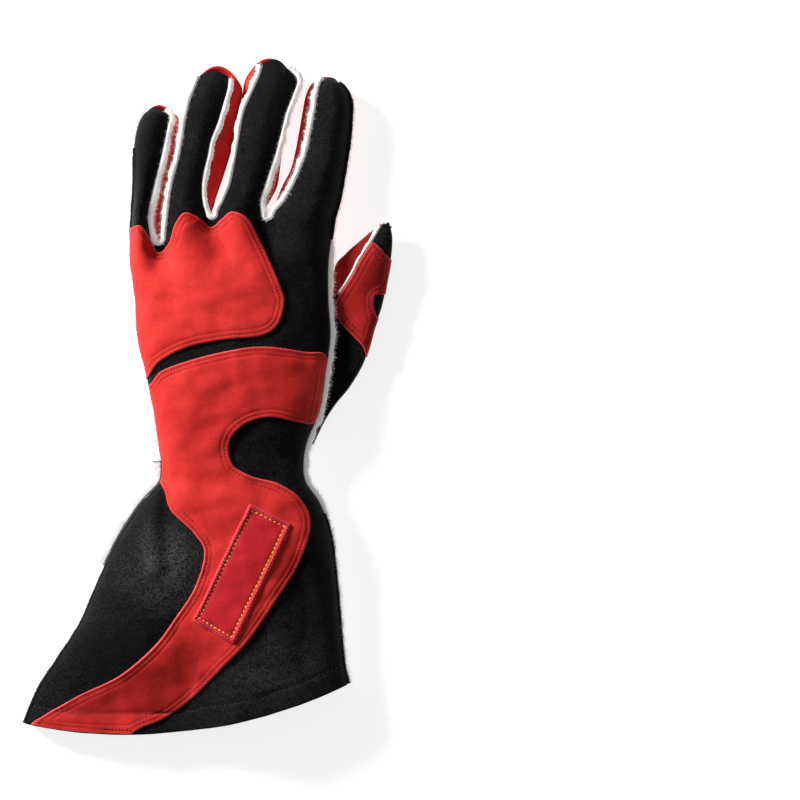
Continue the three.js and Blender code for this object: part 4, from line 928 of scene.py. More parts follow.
gauntlet_palm = cloth_wall("underside_of_gauntlet", gauntlet_points, gauntlet_quads,
                           gauntlet_normals, KNIT_WALL + hem_more.ravel(), black_knit,
                           cloth_uv(gauntlet_points).reshape(-1, 2)[gauntlet_quads])
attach(gauntlet_palm, "root")
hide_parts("gauntlet_palm")

# Side strips of the fingers: one long strip of red suede in each slot, sewn to the back strips
# above and to the palm side below, so the fingers are round.
STRIP_ROWS = 9


def slot_edge(points, columns, slot, skip):
    """Cut edge round one slot: down one finger, round the bottom, up the next."""
    right = np.where((columns[:, 3] == slot) & (columns[:, 4] == 1))[0][0]
    left = np.where((columns[:, 3] == slot + 1) & (columns[:, 4] == 0))[0][0]
    down = points[skip:FINGER_ROWS + 1, right]
    across = points[FINGER_ROWS, right + 1:left]
    up = points[skip:FINGER_ROWS + 1, left][::-1]
    return np.concatenate([down, across, up])


def edge_outward(path, side):
    """Level direction away from the cloth, `side` +1 to the left of travel."""
    ahead = np.concatenate([path[1:], path[-1:]])
    behind = np.concatenate([path[:1], path[:-1]])
    run = (ahead - behind)[:, :2]
    run /= np.linalg.norm(run, axis=1, keepdims=True) + 1e-12
    return np.stack([-run[:, 1], run[:, 0], np.zeros(len(run))], axis=1) * side


for slot in range(3):
    high = slot_edge(back_points, back_columns, slot, 2)
    low = slot_edge(palm_points, palm_columns, slot, 2)
    out_high, out_low = edge_outward(high, 1), edge_outward(low, 1)
    high = high + out_high * 0.4 - np.array([0, 0, KNIT_WALL + SEAM_STACK + 0.05])
    low = low - out_low * 0.6 + np.array([0, 0, SUEDE_WALL + GAP])
    low[:, 2] = np.minimum(low[:, 2], high[:, 2] - 0.6)
    t = np.linspace(0, 1, STRIP_ROWS)[None, :, None]
    bulge = 4 * t * (1 - t)
    strip = mix(high[:, None], low[:, None], t) + out_high[:, None] * bulge * 0.8
    strip[..., 2] += bulge[..., 0] * 0.3
    strip += out_high[:, None] * bulge * 0.25 * ripple(strip[..., :1], strip[..., 1:2], 14, 21 + slot)
    quads = grid_quads(strip, False)
    seams = marks(strip, np.s_[:, 0], np.s_[:, -1])
    normals = vertex_normals(strip, quads, seams, marks(strip))
    facing = (normals * np.repeat(out_high, STRIP_ROWS, axis=0)).sum()
    if facing < 0:
        quads = quads[:, ::-1]
        normals = -normals
    fourchette = cloth_wall(f"finger_side_{slot + 1}", strip, quads, normals, SUEDE_WALL, red_suede)
    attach(fourchette, "root")
    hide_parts(f"fourchette_{slot + 1}")

# White lining edges: the raw edge of the fleecy lining is left to stand out past the seams. It
# shows round each finger slot, along both sides of the hand and on the seams of the thumb.
BAND_REACH = 3.7
# where a lining strip starts, inside the seam
TUCK = -0.8


def fleece_material(name):
    """White fleece with a faint glow, painted light that keeps it bright where it lies in shade."""
    material = new_material(name, (0.9, 0.88, 0.86), 0.95, 0.4, (1, 0.98, 0.95))
    place = object_coordinates(material)
    tone = noise_spread(material, place, 0.002, (0.74, 0.72, 0.70), (0.96, 0.95, 0.93), 5.0)
    curls = noise(material, place, 1300.0, 6.0, 0.75)
    # the emission is painted light: the fleece glows so its edges stay bright in shade
    feed(shader_of(material), {"Base Color": tone, "Normal": bump(material, curls, 1.0, 0.0008),
                               "Emission Color": (1, 0.97, 0.94, 1), "Emission Strength": 0.22})
    return material


def lengths_along(path):
    """Length of a path up to each of its points."""
    steps = np.linalg.norm(np.diff(path, axis=0), axis=1)
    return np.concatenate([[0], np.cumsum(steps)])


def signed_volume(points, faces):
    total = 0.0
    for face in faces:
        for k in range(1, len(face) - 1):
            total += np.dot(points[face[0]], np.cross(points[face[k]], points[face[k + 1]]))
    return total


def lining_edge(name, path, side, near, far, thick, seed, material, roll=0.0, droop=0.0):
    """Uneven soft strip along a path, its top at the path's height at the seam.

    It starts at near and reaches out to far, both measured level and away from the cloth.
    """
    out = edge_outward(path, side)
    length = lengths_along(path)
    wander = 1 + 0.13 * ripple(length, 0, 9, seed) + 0.10 * ripple(length, 0, 2.6, seed + 1)
    puff = 0.16 * ripple(length, 0, 3.3, seed + 2)
    reach = far * wander
    # distance out, as a share of the reach past the seam, and height over the strip's top
    section = [(near, 0, 0), (0.5, 0, 0), (0.5, 0.02, roll * 0.6), (0.5, 0.14, roll * 0.92),
               (0.5, 0.38, roll), (0.5, 0.66, roll * 0.9), (0.5, 0.9, roll * 0.55),
               (0.5, 1.0, roll * 0.1), (0.5, 0.94, -thick * 0.7), (0.5, 0.6, -thick),
               (near, 0, -thick)]
    if roll == 0:
        section = [(near, 0, 0), (near, 0.3, 0.12), (near, 0.7, 0.1), (near, 0.92, -thick * 0.15),
                   (near, 1.0, -thick * 0.5), (near, 0.92, -thick * 0.85), (near, 0.5, -thick),
                   (near, 0, -thick)]
    rings = []
    for start, share, height in section:
        across = start + (reach - start) * share
        high = height - droop * share + puff * (0.05 < share < 0.95) * (height > 0)
        rings.append(path + out * across[:, None] + np.array([0, 0, 1.0]) * high[:, None])
    points = np.stack(rings, axis=1)
    flat = points.reshape(-1, 3)
    count, around = points.shape[:2]
    number = np.arange(count * around).reshape(count, around)
    after = np.roll(number, -1, axis=1)
    quads = np.stack([number[:-1], number[1:], after[1:], after[:-1]], axis=-1).reshape(-1, 4)
    if side > 0:
        quads = quads[:, ::-1]
    faces = quads.tolist()
    first, last = number[0].tolist(), number[-1].tolist()
    faces += [first[::-1], last] if side < 0 else [first, last[::-1]]
    if signed_volume(flat, faces) < 0:
        faces = [face[::-1] for face in faces]
    return make_object(name, flat, faces, material)


def fray_tree():
    """Loose fibres standing out of a fleecy edge, each a thin bent thread with closed ends."""
    amounts = ("Density", "Fibre length", "Fibre radius", "Waviness")
    tree = new_tree("frayed_fibres", "Edge", amounts, "Fleece", "Fibres")
    given = add_node(tree, "NodeGroupInput", {}).outputs
    spread = add_node(tree, "GeometryNodeDistributePointsOnFaces", {
        "Mesh": given["Edge"], "Density": given["Density"], "Seed": given["Seed"]})
    fibre = add_node(tree, "GeometryNodeCurveQuadraticBezier", {
        "Resolution": 3, "Start": (0, 0, -0.1), "Middle": (0.15, 0, 0.5), "End": (0.75, 0.1, 0.8)})
    turn = add_node(tree, "FunctionNodeRandomValue", {
        0: (-0.5, -0.5, -3.14), 1: (0.5, 0.5, 3.14), "Seed": given["Seed"]},
        data_type="FLOAT_VECTOR")
    euler = add_node(tree, "FunctionNodeEulerToRotation", {0: turn.outputs[0]})
    rotate = add_node(tree, "FunctionNodeRotateRotation",
                      {0: spread.outputs["Rotation"], 1: euler.outputs[0]}, rotation_space="LOCAL")
    vary = add_node(tree, "FunctionNodeRandomValue", {2: 0.35, 3: 1.0, "Seed": given["Seed"]},
                    data_type="FLOAT")
    length = calculate(tree, "MULTIPLY", vary.outputs[1], given["Fibre length"])
    place = add_node(tree, "GeometryNodeInstanceOnPoints", {
        "Points": spread.outputs["Points"], "Instance": fibre.outputs["Curve"],
        "Rotation": rotate.outputs[0], "Scale": length})
    real = add_node(tree, "GeometryNodeRealizeInstances", {"Geometry": place.outputs["Instances"]})
    stir = add_node(tree, "ShaderNodeTexNoise", {"Scale": 700.0})
    centred = add_node(tree, "ShaderNodeVectorMath", {0: stir.outputs["Color"], 1: (0.5, 0.5, 0.5)},
                       operation="SUBTRACT")
    wave = add_node(tree, "ShaderNodeVectorMath",
                    {0: centred.outputs["Vector"], "Scale": given["Waviness"]}, operation="SCALE")
    shake = add_node(tree, "GeometryNodeSetPosition",
                     {"Geometry": real.outputs["Geometry"], "Offset": wave.outputs["Vector"]})
    ring = add_node(tree, "GeometryNodeCurvePrimitiveCircle",
                    {"Resolution": 3, "Radius": given["Fibre radius"]})
    tube = add_node(tree, "GeometryNodeCurveToMesh", {
        "Fill Caps": True, "Curve": shake.outputs["Geometry"],
        "Profile Curve": ring.outputs["Curve"]})
    finish = add_node(tree, "GeometryNodeSetMaterial",
                      {"Geometry": tube.outputs["Mesh"], "Material": given["Fleece"]})
    add_node(tree, "NodeGroupOutput", {"Fibres": finish.outputs["Geometry"]})
    return tree


FRAY = fray_tree()
# in metres: fibres that would reach into the table are bent up above it
LOWEST_FIBRE = 0.0004


def fray(name, source, density, length, seed, material):
    """Loose fibres on a piece; density is per square centimetre, length in millimetres."""
    piece = source.copy()
    piece.data = source.data.copy()
    piece.name = name
    scene.collection.objects.link(piece)
    run_nodes(piece, FRAY, {"Density": density * 1e4, "Fibre length": length * 0.001,
                            "Fibre radius": 0.00006, "Waviness": 0.0008, "Seed": seed,
                            "Fleece": material})
    places = np.empty(len(piece.data.vertices) * 3)
    piece.data.vertices.foreach_get("co", places)
    places = places.reshape(-1, 3)
    low = places[:, 2] < LOWEST_FIBRE
    places[low, 2] = LOWEST_FIBRE * np.exp(places[low, 2] / LOWEST_FIBRE - 1)
    piece.data.vertices.foreach_set("co", places.ravel())
    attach(piece, "root")
    return piece


def lining_piece(name, node, path, side, near, far, thick, seed, density=95, length=1.9, roll=0.0):
    piece = lining_edge(name, path, side, near, far, thick, seed, white_fleece, roll)
    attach(piece, "root")
    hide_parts(node)
    fray(f"{name}_fibres", piece, density, length, seed, white_fleece)
    return piece


white_fleece = fleece_material("white_fleece")
down = np.array([0, 0, KNIT_WALL + GAP])
for slot in range(3):
    path = slot_edge(back_points, back_columns, slot, 2) - down
    lining_piece(f"slot_edge_{slot + 1}", f"slot_lining_{slot + 1}", path, 1, TUCK, BAND_REACH,
                 BAND_THICK, 40 + slot * 5, length=2.3, roll=2.8)

thumb_side = back_points[5:, -1] - np.array([0, 0, GAP])
reach = mix(0.4, 2.9, smoothstep((96 - thumb_side[:, 1]) / 12))
reach = mix(reach, 1.5, smoothstep((-58 - thumb_side[:, 1]) / 14))
lining_piece("side_edge_thumb", "side_lining_thumb", thumb_side, 1, TUCK, reach, BAND_THICK, 61,
             length=2.4, roll=1.7)
little_side = back_points[5:, 0] - np.array([0, 0, GAP])
reach = mix(0.5, 2.6, smoothstep((little_side[:, 1] - 142) / 8))
lining_piece("side_edge_little", "side_lining_little", little_side, -1, TUCK, reach, BAND_THICK,
             67, 40, 1.3)

# Raw edges of the black knit, left fluffy along the outer seams: the little finger's side down
# to the hem, the index finger's side above the white lining, and the gauntlet's other side.
# name, path, side, lowest and highest y, seed
SEAM_EDGES = [("raw_edge_index", thumb_side, 1, 92, 400, 87),
              ("raw_edge_little", little_side, -1, -400, 146, 88),
              ("raw_edge_gauntlet", thumb_side, 1, -400, -66, 89)]
for name, path, side, lowest, highest, seed in SEAM_EDGES:
    path = path[(path[:, 1] > lowest) & (path[:, 1] < highest)] + np.array([0, 0, 2.4])
    edge = lining_edge(name, path, side, -0.5, 0.8, 1.0, seed, black_thread)
    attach(edge, "root")
    fray(f"{name}_fibres", edge, 160, 1.5, seed + 3, black_thread)

# Thumb: its back is black knit that runs from the wrist to the tip, its inner face and the
# gusset that joins it to the palm are red suede.
# upper seam x, y, z, outer silhouette x, y, z, palm side seam x, y, z
THUMB_BACK = np.array([
    (59, -27.2, 8.4, 62, -27.2, 6.5, 30, -26.4, 3.8),
    (64, -15, 9.2, 69, -13, 7, 38, -15.5, 3.0),
    (66.6, -3.5, 9.6, 76, -2.5, 7.5, 40.5, -4, 2.4),
    (68.4, 6, 10, 83, 6, 8, 44, 6.5, 1.9),
    (70.2, 17.5, 10, 90.5, 18.5, 8, 50.5, 18.5, 1.6),
    (71.8, 29, 10, 94.5, 29.5, 8, 59, 30.5, 1.5),
    (72.4, 40.5, 10, 97.5, 40.5, 8, 68.5, 41, 1.5),
    (72.4, 49, 10.2, 101, 50, 8, 77, 49.5, 1.5),
    (74.2, 55.4, 11.2, 103, 57.5, 8, 84, 56, 1.5),
    (78, 61, 12.6, 104.8, 67.5, 8.2, 91, 66, 1.6),
    (84.4, 70.5, 13.8, 106.6, 77, 8.6, 96.4, 76.5, 1.8),
    (90.6, 82, 14.4, 107.8, 86, 9, 100.6, 87, 2.4),
    (96.5, 90.5, 13.4, 108, 94, 9.2, 103, 94.5, 4.4),
    (102.6, 100.8, 11.0, 106.3, 101.9, 9.2, 104.8, 100.8, 7.6),
])
THUMB_ROWS = 100
QUARTER = 20
LOWEST_THUMB = 0.3
# the row of both tables where the seams leave the palm, and the last row
THUMB_FREE = 9
THUMB_TIP = 13


def quarter(start, end, t, swell):
    """Quarter round from a seam to the silhouette."""
    s, c = np.sin(np.pi / 2 * t), np.cos(np.pi / 2 * t)
    lift = swell * np.sin(np.pi * t) * np.minimum(1, 1.3 * t)
    xy = mix(start[:, None, :2], end[:, None, :2], s[None, :, None])
    z = end[:, None, 2] + (start[:, None, 2] - end[:, None, 2]) * c + lift
    return np.concatenate([xy, z[..., None]], axis=-1)


places = np.linspace(0, THUMB_TIP, THUMB_ROWS + 1)
joined = smoothstep(THUMB_FREE - places)
row = through(THUMB_BACK, places)
upper_seam = row[:, :3] + joined[:, None] * np.array([0.7, 0, -0.3])
outer = row[:, 3:6]
palm_seam = row[:, 6:] + np.array([SEAM_HALF, -SEAM_HALF * 0.6, 0])
swell = np.interp(places, [0, 1, THUMB_FREE - 1, THUMB_FREE], [0.5, 3.2, 3.2, 1.2])[:, None]
t = np.linspace(0, 1, QUARTER + 1)
first = quarter(upper_seam, outer, t, swell)
second = quarter(palm_seam, outer, 1 - t[1:], swell * 0)
thumb_points = np.concatenate([first, second], axis=1)
soft = np.sin(np.pi * np.linspace(0, 1, thumb_points.shape[1])) * smoothstep(places / 1.5)[:, None]
thumb_points[..., 2] += soft * 0.3 * ripple(thumb_points[..., 0], thumb_points[..., 1], 17, 31)
thumb_points[..., 2] = np.maximum(thumb_points[..., 2], LOWEST_THUMB)
thumb_quads = grid_quads(thumb_points, False)
sewn = places < THUMB_FREE - 0.5
level = marks(thumb_points, np.s_[sewn, 0])
upright = marks(thumb_points, np.s_[~sewn, 0], np.s_[:, -1])
thumb_normals = vertex_normals(thumb_points, thumb_quads, level, upright)
thumb_back = cloth_wall("back_of_thumb", thumb_points, thumb_quads, thumb_normals, KNIT_WALL,
                        black_knit, cloth_uv(thumb_points).reshape(-1, 2)[thumb_quads])
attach(thumb_back, "root")
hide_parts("thumb_back")

row = through(THUMB_INNER, places)
on_palm = smoothstep((THUMB_FREE - places) / 0.8)
past_bend = on_palm * smoothstep((places - 5.2) / 0.6)
seam_g = row[:, :3] + np.stack([SEAM_HALF * 0.9 * on_palm, -SEAM_HALF * 1.4 * past_bend,
                                0 * on_palm], axis=1)
middle = row[:, 3:6]
seam_b = row[:, 6:] + np.array([-SEAM_HALF * 0.9, SEAM_HALF * 0.8, 0])
even = np.linspace(0, 1, 15)
straight = np.concatenate([mix(seam_g[:, None], middle[:, None], even[None, :, None]),
                           mix(middle[:, None], seam_b[:, None], even[None, 1:, None])], axis=1)
curved = np.concatenate([quarter(seam_g, middle, even, 0.5),
                         quarter(seam_b, middle, 1 - even[1:], 0)], axis=1)
inner_points = mix(curved, straight, on_palm[:, None, None])
soft = np.sin(np.pi * np.linspace(0, 1, inner_points.shape[1]))
inner_points[..., 2] += soft * 0.2 * (1 + ripple(inner_points[..., 0], inner_points[..., 1], 13, 33))
# a darker copy of the red suede for the thumb: painted shade, where the hand shades the thumb
thumb_suede_painted_shade = suede_material("thumb_suede_painted_shade", (0.35, 0.003, 0.002), (0.52, 0.009, 0.006))
inner_quads = grid_quads(inner_points, True)
inner_normals = vertex_normals(inner_points, inner_quads, marks(inner_points),
                               marks(inner_points, np.s_[:, 0], np.s_[:, -1]))
if inner_normals[:, 2].sum() > 0:
    inner_quads = inner_quads[:, ::-1]
    inner_normals = -inner_normals
thumb_inner = cloth_wall("inside_of_thumb", inner_points, inner_quads, inner_normals, SUEDE_WALL,
                         thumb_suede_painted_shade)
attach(thumb_inner, "root")
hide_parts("thumb_inner")

# Lining edges on the seams of the thumb: one on the free part of its upper seam, one along the
# gusset and one between the thumb's back and the gusset, both of them on the palm side.
EDGE_POINTS = 60
LOWEST_EDGE = 1.9


def palm_edge_path(seam):
    """A seam of the palm side, raised to where the lining stands out of it."""
    seam[:, 2] = np.maximum(LOWEST_EDGE, seam[:, 2] + 0.9)
    return seam


path = through(THUMB_BACK, np.linspace(THUMB_FREE, 12.9, EDGE_POINTS))[:, :3] - down
lining_piece("thumb_edge", "thumb_lining", path, 1, TUCK, np.linspace(1.5, 2.7, EDGE_POINTS),
             BAND_THICK, 71, roll=2.3)
rows = np.linspace(0, 9.1, 170)
path = palm_edge_path(through(THUMB_INNER, rows)[:, :3])
past_bend = smoothstep((rows - 7.4) / 1.2)
path[:, 1] += 2.6 * past_bend
lining_piece("gusset_edge", "gusset_lining", path, 1, -0.95, 0.95 + 0.5 * past_bend, 1.5, 75, 120, 1.8)
path = palm_edge_path(through(THUMB_BACK, np.linspace(0.3, 12.7, 220))[:, 6:])
lining_piece("thumb_palm_edge", "thumb_palm_lining", path, 1, -0.9, 0.9, 1.5, 79, 120, 1.8)

# Blank white woven tape sewn into the seam on the little finger's side, just below the wrist,
# where its folded end stands a little way out of the seam.
TAPE_REACH = 5.4
TAPE_ENDS = (-98, -36)
tape_path = little_side[(little_side[:, 1] > TAPE_ENDS[0]) & (little_side[:, 1] < TAPE_ENDS[1])]
white_tape = new_material("white_tape", (0.74, 0.74, 0.73), 0.7, 0.1)
weave = add_node(white_tape, "ShaderNodeTexWave", {
    "Scale": 900.0, "Distortion": 2.0, "Vector": object_coordinates(white_tape)},
    wave_type="BANDS", bands_direction="DIAGONAL")
feed(shader_of(white_tape), {"Normal": bump(white_tape, weave.outputs["Fac"], 0.5, 0.0003)})
side_tape = lining_edge("side_tape", tape_path, -1, 0.5 + GAP, TAPE_REACH, 0.8, 83, white_tape,
                        droop=1.1)
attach(side_tape, "root")
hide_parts("side_label")
fray("side_tape_fibres", side_tape, 14, 1.4, 84, white_fleece)

# Knuckle and wrist patches: red suede laid on the back and sewn down with two rows of stitches
# close inside their edges. The wrist patch sweeps down over the gauntlet to the hem.
STITCH_ROWS = (2.1, 4.5)
PATCH_STITCH = (2.2, 1.45, 0.72, 0.5)
# outline points closer together than the first are left out; the cut edge shows this wide
CLOSEST = 0.25
CUT_WIDTH = 0.55
KNUCKLE_OUTLINE = [
    (-50, 98.6), (-43, 98.6), (-37.7, 99.4), (-33.4, 92.6), (-27.4, 84.4), (-20.9, 89.4),
    (-17.4, 100), (-12.2, 107.2), (-4.6, 104.4), (2.8, 99), (9.3, 103.2), (15.7, 107.8),
    (24.4, 103.6), (30.2, 92.8), (38.3, 76), (44, 62.6), (45.6, 55), (42.3, 42.9), (32.5, 36),
    (11, 33.6), (-9.3, 29.6), (-25.5, 21.5), (-33.1, 12.4), (-42, 4), (-50, 20)]
WRIST_OUTLINE = [
    (-40, 2), (-31.3, 8.6), (-24.9, 15.7), (-9.3, 21.5), (13.9, 27.3), (34.2, 29.6), (57.4, 26.7),
    (68.6, 25), (67.6, 10.4), (64.2, -9), (61, -14.6), (54.5, -13.9), (37.1, -11), (22.6, -15.1),
    (13.9, -25.5), (15.7, -37.7), (25.5, -44.7), (42.9, -49.9), (55.7, -59.7), (60.3, -73.7),
    (54.5, -94), (43.5, -112.5), (25.5, -139.2), (11, -154.9), (-6.4, -172.8), (-23.8, -185.6),
    (-40, -192.6), (-60, -206), (-100, -206), (-103, -192), (-93.4, -183.9), (-73.1, -172.3),
    (-49.9, -160.7), (-29.6, -143.3), (-17.4, -127), (-6.4, -110.2), (-0.5, -90), (-6.4, -78.3),
    (-19.7, -65), (-24.6, -52), (-34, -40), (-40, -20)]


class Ground:
    """The outer face of a panel, to lay pieces on: places and normals over any x, y."""

    def __init__(self, points, normals):
        self.points = points
        self.normals = normals.reshape(points.shape)
        self.cells = np.argwhere(~np.isnan(points[..., 0]))
        self.tree = outline_tree(points[tuple(self.cells.T)][:, :2])

    def neighbour(self, r, c):
        """The cell at a row and column, or None where the panel has no point there."""
        rows, wide = self.points.shape[:2]
        if 0 <= r < rows and 0 <= c < wide and not np.isnan(self.points[r, c, 0]):
            return r, c
        return None

    def under(self, xy):
        """Place, normal and whether it had to be moved in from outside the panel."""
        places, normals, outside = [], [], []
        for px, py in xy:
            r, c = self.cells[self.tree.find((px, py, 0))[1]]
            here = self.points[r, c]
            best = None
            for dr in (-1, 1):
                for dc in (-1, 1):
                    down_cell, side_cell = self.neighbour(r + dr, c), self.neighbour(r, c + dc)
                    if down_cell is None or side_cell is None:
                        continue
                    a, b = self.points[down_cell] - here, self.points[side_cell] - here
                    det = a[0] * b[1] - a[1] * b[0]
                    if abs(det) < 1e-9:
                        continue
                    wx, wy = px - here[0], py - here[1]
                    s, t = (wx * b[1] - wy * b[0]) / det, (a[0] * wy - a[1] * wx) / det
                    miss = max(0, -s) + max(0, -t) + max(0, s - 1) + max(0, t - 1)
                    if best is None or miss < best[0]:
                        best = (miss, s, t, down_cell, side_cell)
            if best is None:
                places.append(here)
                normals.append(self.normals[r, c])
                outside.append(True)
                continue
            miss, s, t, down_cell, side_cell = best
            s, t = min(1, max(0, s)), min(1, max(0, t))
            n0 = self.normals[r, c]
            place = here + s * (self.points[down_cell] - here) + t * (self.points[side_cell] - here)
            normal = n0 + s * (self.normals[down_cell] - n0) + t * (self.normals[side_cell] - n0)
            places.append(place)
            normals.append(normal / (np.linalg.norm(normal) + 1e-12))
            outside.append(miss > 0.6)
        return np.array(places), np.array(normals), np.array(outside)


def even_steps(line, step, closed=True):
    """Points in even steps along a line, or round a loop."""
    if closed:
        line = np.concatenate([line, line[:1]])
    run = lengths_along(line)
    at = np.linspace(0, run[-1], int(run[-1] / step), endpoint=not closed)
    return np.stack([np.interp(at, run, line[:, 0]), np.interp(at, run, line[:, 1])], axis=1)


def counter_clockwise(loop):
    x, y = loop.T
    area = (x * np.roll(y, -1) - np.roll(x, -1) * y).sum()
    return loop[::-1] if area < 0 else loop


def closed_curve(points, step):
    """Smooth closed outline through its points, in even steps, counter-clockwise."""
    points = np.array(points, float)
    wrapped = np.concatenate([points[-2:], points, points[:3]])
    fine = through(wrapped, np.linspace(2, len(points) + 2, len(points) * 24, endpoint=False))
    return even_steps(counter_clockwise(fine), step)


def outline_tree(outline):
    """A tree that finds the nearest of these points."""
    tree = KDTree(len(outline))
    for index, (px, py) in enumerate(outline):
        tree.insert((px, py, 0), index)
    tree.balance()
    return tree


def distances(tree, points):
    return np.array([tree.find((px, py, 0))[2] for px, py in points])


def inward(outline):
    """Directions into a counter-clockwise outline, square to it."""
    run = np.roll(outline, -1, axis=0) - np.roll(outline, 1, axis=0)
    run /= np.linalg.norm(run, axis=1, keepdims=True) + 1e-12
    return np.stack([-run[:, 1], run[:, 0]], axis=1)


def inside_points(outline, grid):
    """Which grid points lie inside a closed outline."""
    px, py = grid.T
    result = np.zeros(len(grid), bool)
    for (x0, y0), (x1, y1) in zip(outline, np.roll(outline, -1, axis=0)):
        if y0 == y1:
            continue
        crosses = (y0 > py) != (y1 > py)
        result ^= crosses & (px < (x1 - x0) * (py - y0) / (y1 - y0) + x0)
    return result


def one_sheet(faces):
    """The faces that hang together edge to edge, without specks that touch at a point only."""
    owners = {}
    for number, face in enumerate(faces):
        for p, q in zip(face, face[1:] + face[:1]):
            owners.setdefault((min(p, q), max(p, q)), []).append(number)
    beside = [[] for _ in faces]
    for pair in owners.values():
        if len(pair) == 2:
            beside[pair[0]].append(pair[1])
            beside[pair[1]].append(pair[0])
    best, seen = [], set()
    for start in range(len(faces)):
        if start in seen:
            continue
        seen.add(start)
        sheet = [start]
        for number in sheet:
            fresh = [other for other in beside[number] if other not in seen]
            seen.update(fresh)
            sheet.extend(fresh)
        best = max(best, sheet, key=len)
    return [faces[number] for number in sorted(best)]


def ring_points(outline, tree, rings):
    """The outline and rings of points inside it, each ring at a distance from the edge."""
    points = [outline]
    for ring in rings:
        moved = outline + inward(outline) * ring
        points.append(moved[distances(tree, moved) > 0.97 * ring])
    return points


def grid_points(outline, spacing, stagger):
    """A grid of points over an outline, every other row moved along by the stagger."""
    low, high = outline.min(axis=0), outline.max(axis=0)
    gx, gy = np.meshgrid(np.arange(low[0], high[0], spacing), np.arange(low[1], high[1], spacing))
    gx[1::2] += stagger
    return np.stack([gx.ravel(), gy.ravel()], axis=1)


def triangles(outline, points):
    """Triangles over the points inside an outline; the outline's own points come first."""
    points = np.concatenate(points)
    inner = inside_points(outline, points)
    inner[:len(outline)] = True
    rim = [list(range(len(outline)))]
    result = delaunay_2d_cdt([Vector(p) for p in points[inner]], [], rim, 1, 1e-5)
    return np.array([tuple(v) for v in result[0]]), [list(face) for face in result[2]]


def slab(faces, count):
    """Faces of a closed slab: a sheet, the same sheet turned over under it, and the rim."""
    under = [[v + count for v in face[::-1]] for face in faces]
    return faces + under + [[q, p, p + count, q + count] for p, q in boundary_edges(faces)]


def laid_piece(name, outline, ground, lift, profile, material, spacing=1.6,
               rings=(0.12, 0.5, 1.0, 1.55, 2.1, 2.65, 3.3, 3.95, 4.5, 5.1, 6.2), waves=0.0, seed=0,
               cut_edge=None):
    """Thin piece on a panel, its thickness read from (distance from edge, thickness) pairs."""
    place, _, outside = ground.under(outline)
    outline = np.where(outside[:, None], place[:, :2], outline)
    keep = np.linalg.norm(outline - np.roll(outline, 1, axis=0), axis=1) > CLOSEST
    outline, outside = outline[keep], outside[keep]
    tree = outline_tree(outline)
    grid = grid_points(outline, spacing, spacing / 2)
    grid = grid[distances(tree, grid) > rings[-1] + spacing * 0.6]
    flat, faces = triangles(outline, ring_points(outline, tree, rings) + [grid])
    used, faces = np.unique(one_sheet(faces), return_inverse=True)
    flat, faces = flat[used], faces.reshape(-1, 3).tolist()
    place, normal, _ = ground.under(flat)
    away = distances(tree, flat)
    thick = np.interp(away, *zip(*profile))
    if waves:
        thick = thick + waves * (1 + ripple(flat[:, 0], flat[:, 1], 16, seed)) * smoothstep(away / 6)
    if outside.any():
        thick = thick * mix(0.45, 1, smoothstep(distances(outline_tree(outline[outside]), flat) / 5))
    top = place + normal * (lift + thick)[:, None]
    bottom = place + normal * lift
    every = slab(faces, len(flat))
    piece = make_object(name, np.concatenate([top, bottom]), every, material)
    if cut_edge:
        piece.data.materials.append(cut_edge)
        near = [away[face].max() < CUT_WIDTH for face in faces]
        sides = len(every) - 2 * len(faces)
        marked = near + [False] * len(faces) + [True] * sides
        piece.data.polygons.foreach_set("material_index", np.array(marked, np.int32))
    return piece, outline, ~outside


def edge_rows(outline, free, ground, lift, profile, offsets):
    """Rows for stitches inside an outline, broken where the piece runs into a seam."""
    tree = outline_tree(outline)
    rows = []
    for offset in offsets:
        moved = outline + inward(outline) * offset
        good = free & (distances(tree, moved) > 0.96 * offset)
        order = np.roll(np.arange(len(moved)), -int(np.argmin(good)))
        height = lift + np.interp(offset, *zip(*profile)) + 0.02
        run = []
        for index in [*order, None]:
            if index is not None and good[index]:
                run.append(moved[index])
            elif len(run) > 6:
                place, normal, _ = ground.under(run)
                rows.append((place + normal * height, normal))
                run = []
    return rows


back_ground = Ground(back_points, back_normals)
cut_suede = suede_material("cut_suede", (0.74, 0.05, 0.055), (0.84, 0.09, 0.09), 0.6)
PATCH_PROFILE = [(0, 0.6), (0.12, 0.95), (0.5, 1.25), (1.0, 1.3), (1.55, 1.2), (2.1, 0.98),
                 (2.65, 1.17), (3.3, 1.22), (3.95, 1.16), (4.5, 0.98), (5.1, 1.18), (6.2, 1.3),
                 (11, 1.45)]
# painted shade darkens the lower sweep from below the label down to the hem fold, and painted light
# lifts the hem band below it
sweep_suede_painted_shade = suede_material("sweep_suede_painted_shade", (0.58, 0.012, 0.008), (0.76, 0.026, 0.020),
                             bands=[(-144, -162, (0.62, 0.3, 0.3)), (-182, -187, (1.45, 2.6, 2.6))])
# name, node, outline, material, seed
PATCHES = [("knuckle_patch_suede", "knuckle_patch", KNUCKLE_OUTLINE, red_suede, 91),
           ("wrist_patch_suede", "wrist_patch", WRIST_OUTLINE, sweep_suede_painted_shade, 95)]
for name, node, points, suede, seed in PATCHES:
    outline = closed_curve(points, 0.95)
    piece, outline, free = laid_piece(name, outline, back_ground, GAP, PATCH_PROFILE, suede,
                                      waves=0.22, seed=seed, cut_edge=cut_suede)
    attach(piece, "root")
    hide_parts(node)
    rows = edge_rows(outline, free, back_ground, GAP, PATCH_PROFILE, STITCH_ROWS)
    stitches = sew(f"{node}_stitches", rows, red_thread, *PATCH_STITCH, seed)

over = inside_points(outline, back_flat[hem_ids, :2])
over &= distances(outline_tree(outline), back_flat[hem_ids, :2]) > 0.9
patch_hem = sew("wrist_patch_hem_stitches",
                [on_face(back_flat, back_normals, hem_ids[over], GAP + 1.55)],
                black_thread, 3.0, 2.3, 0.6, 0.5, 99)

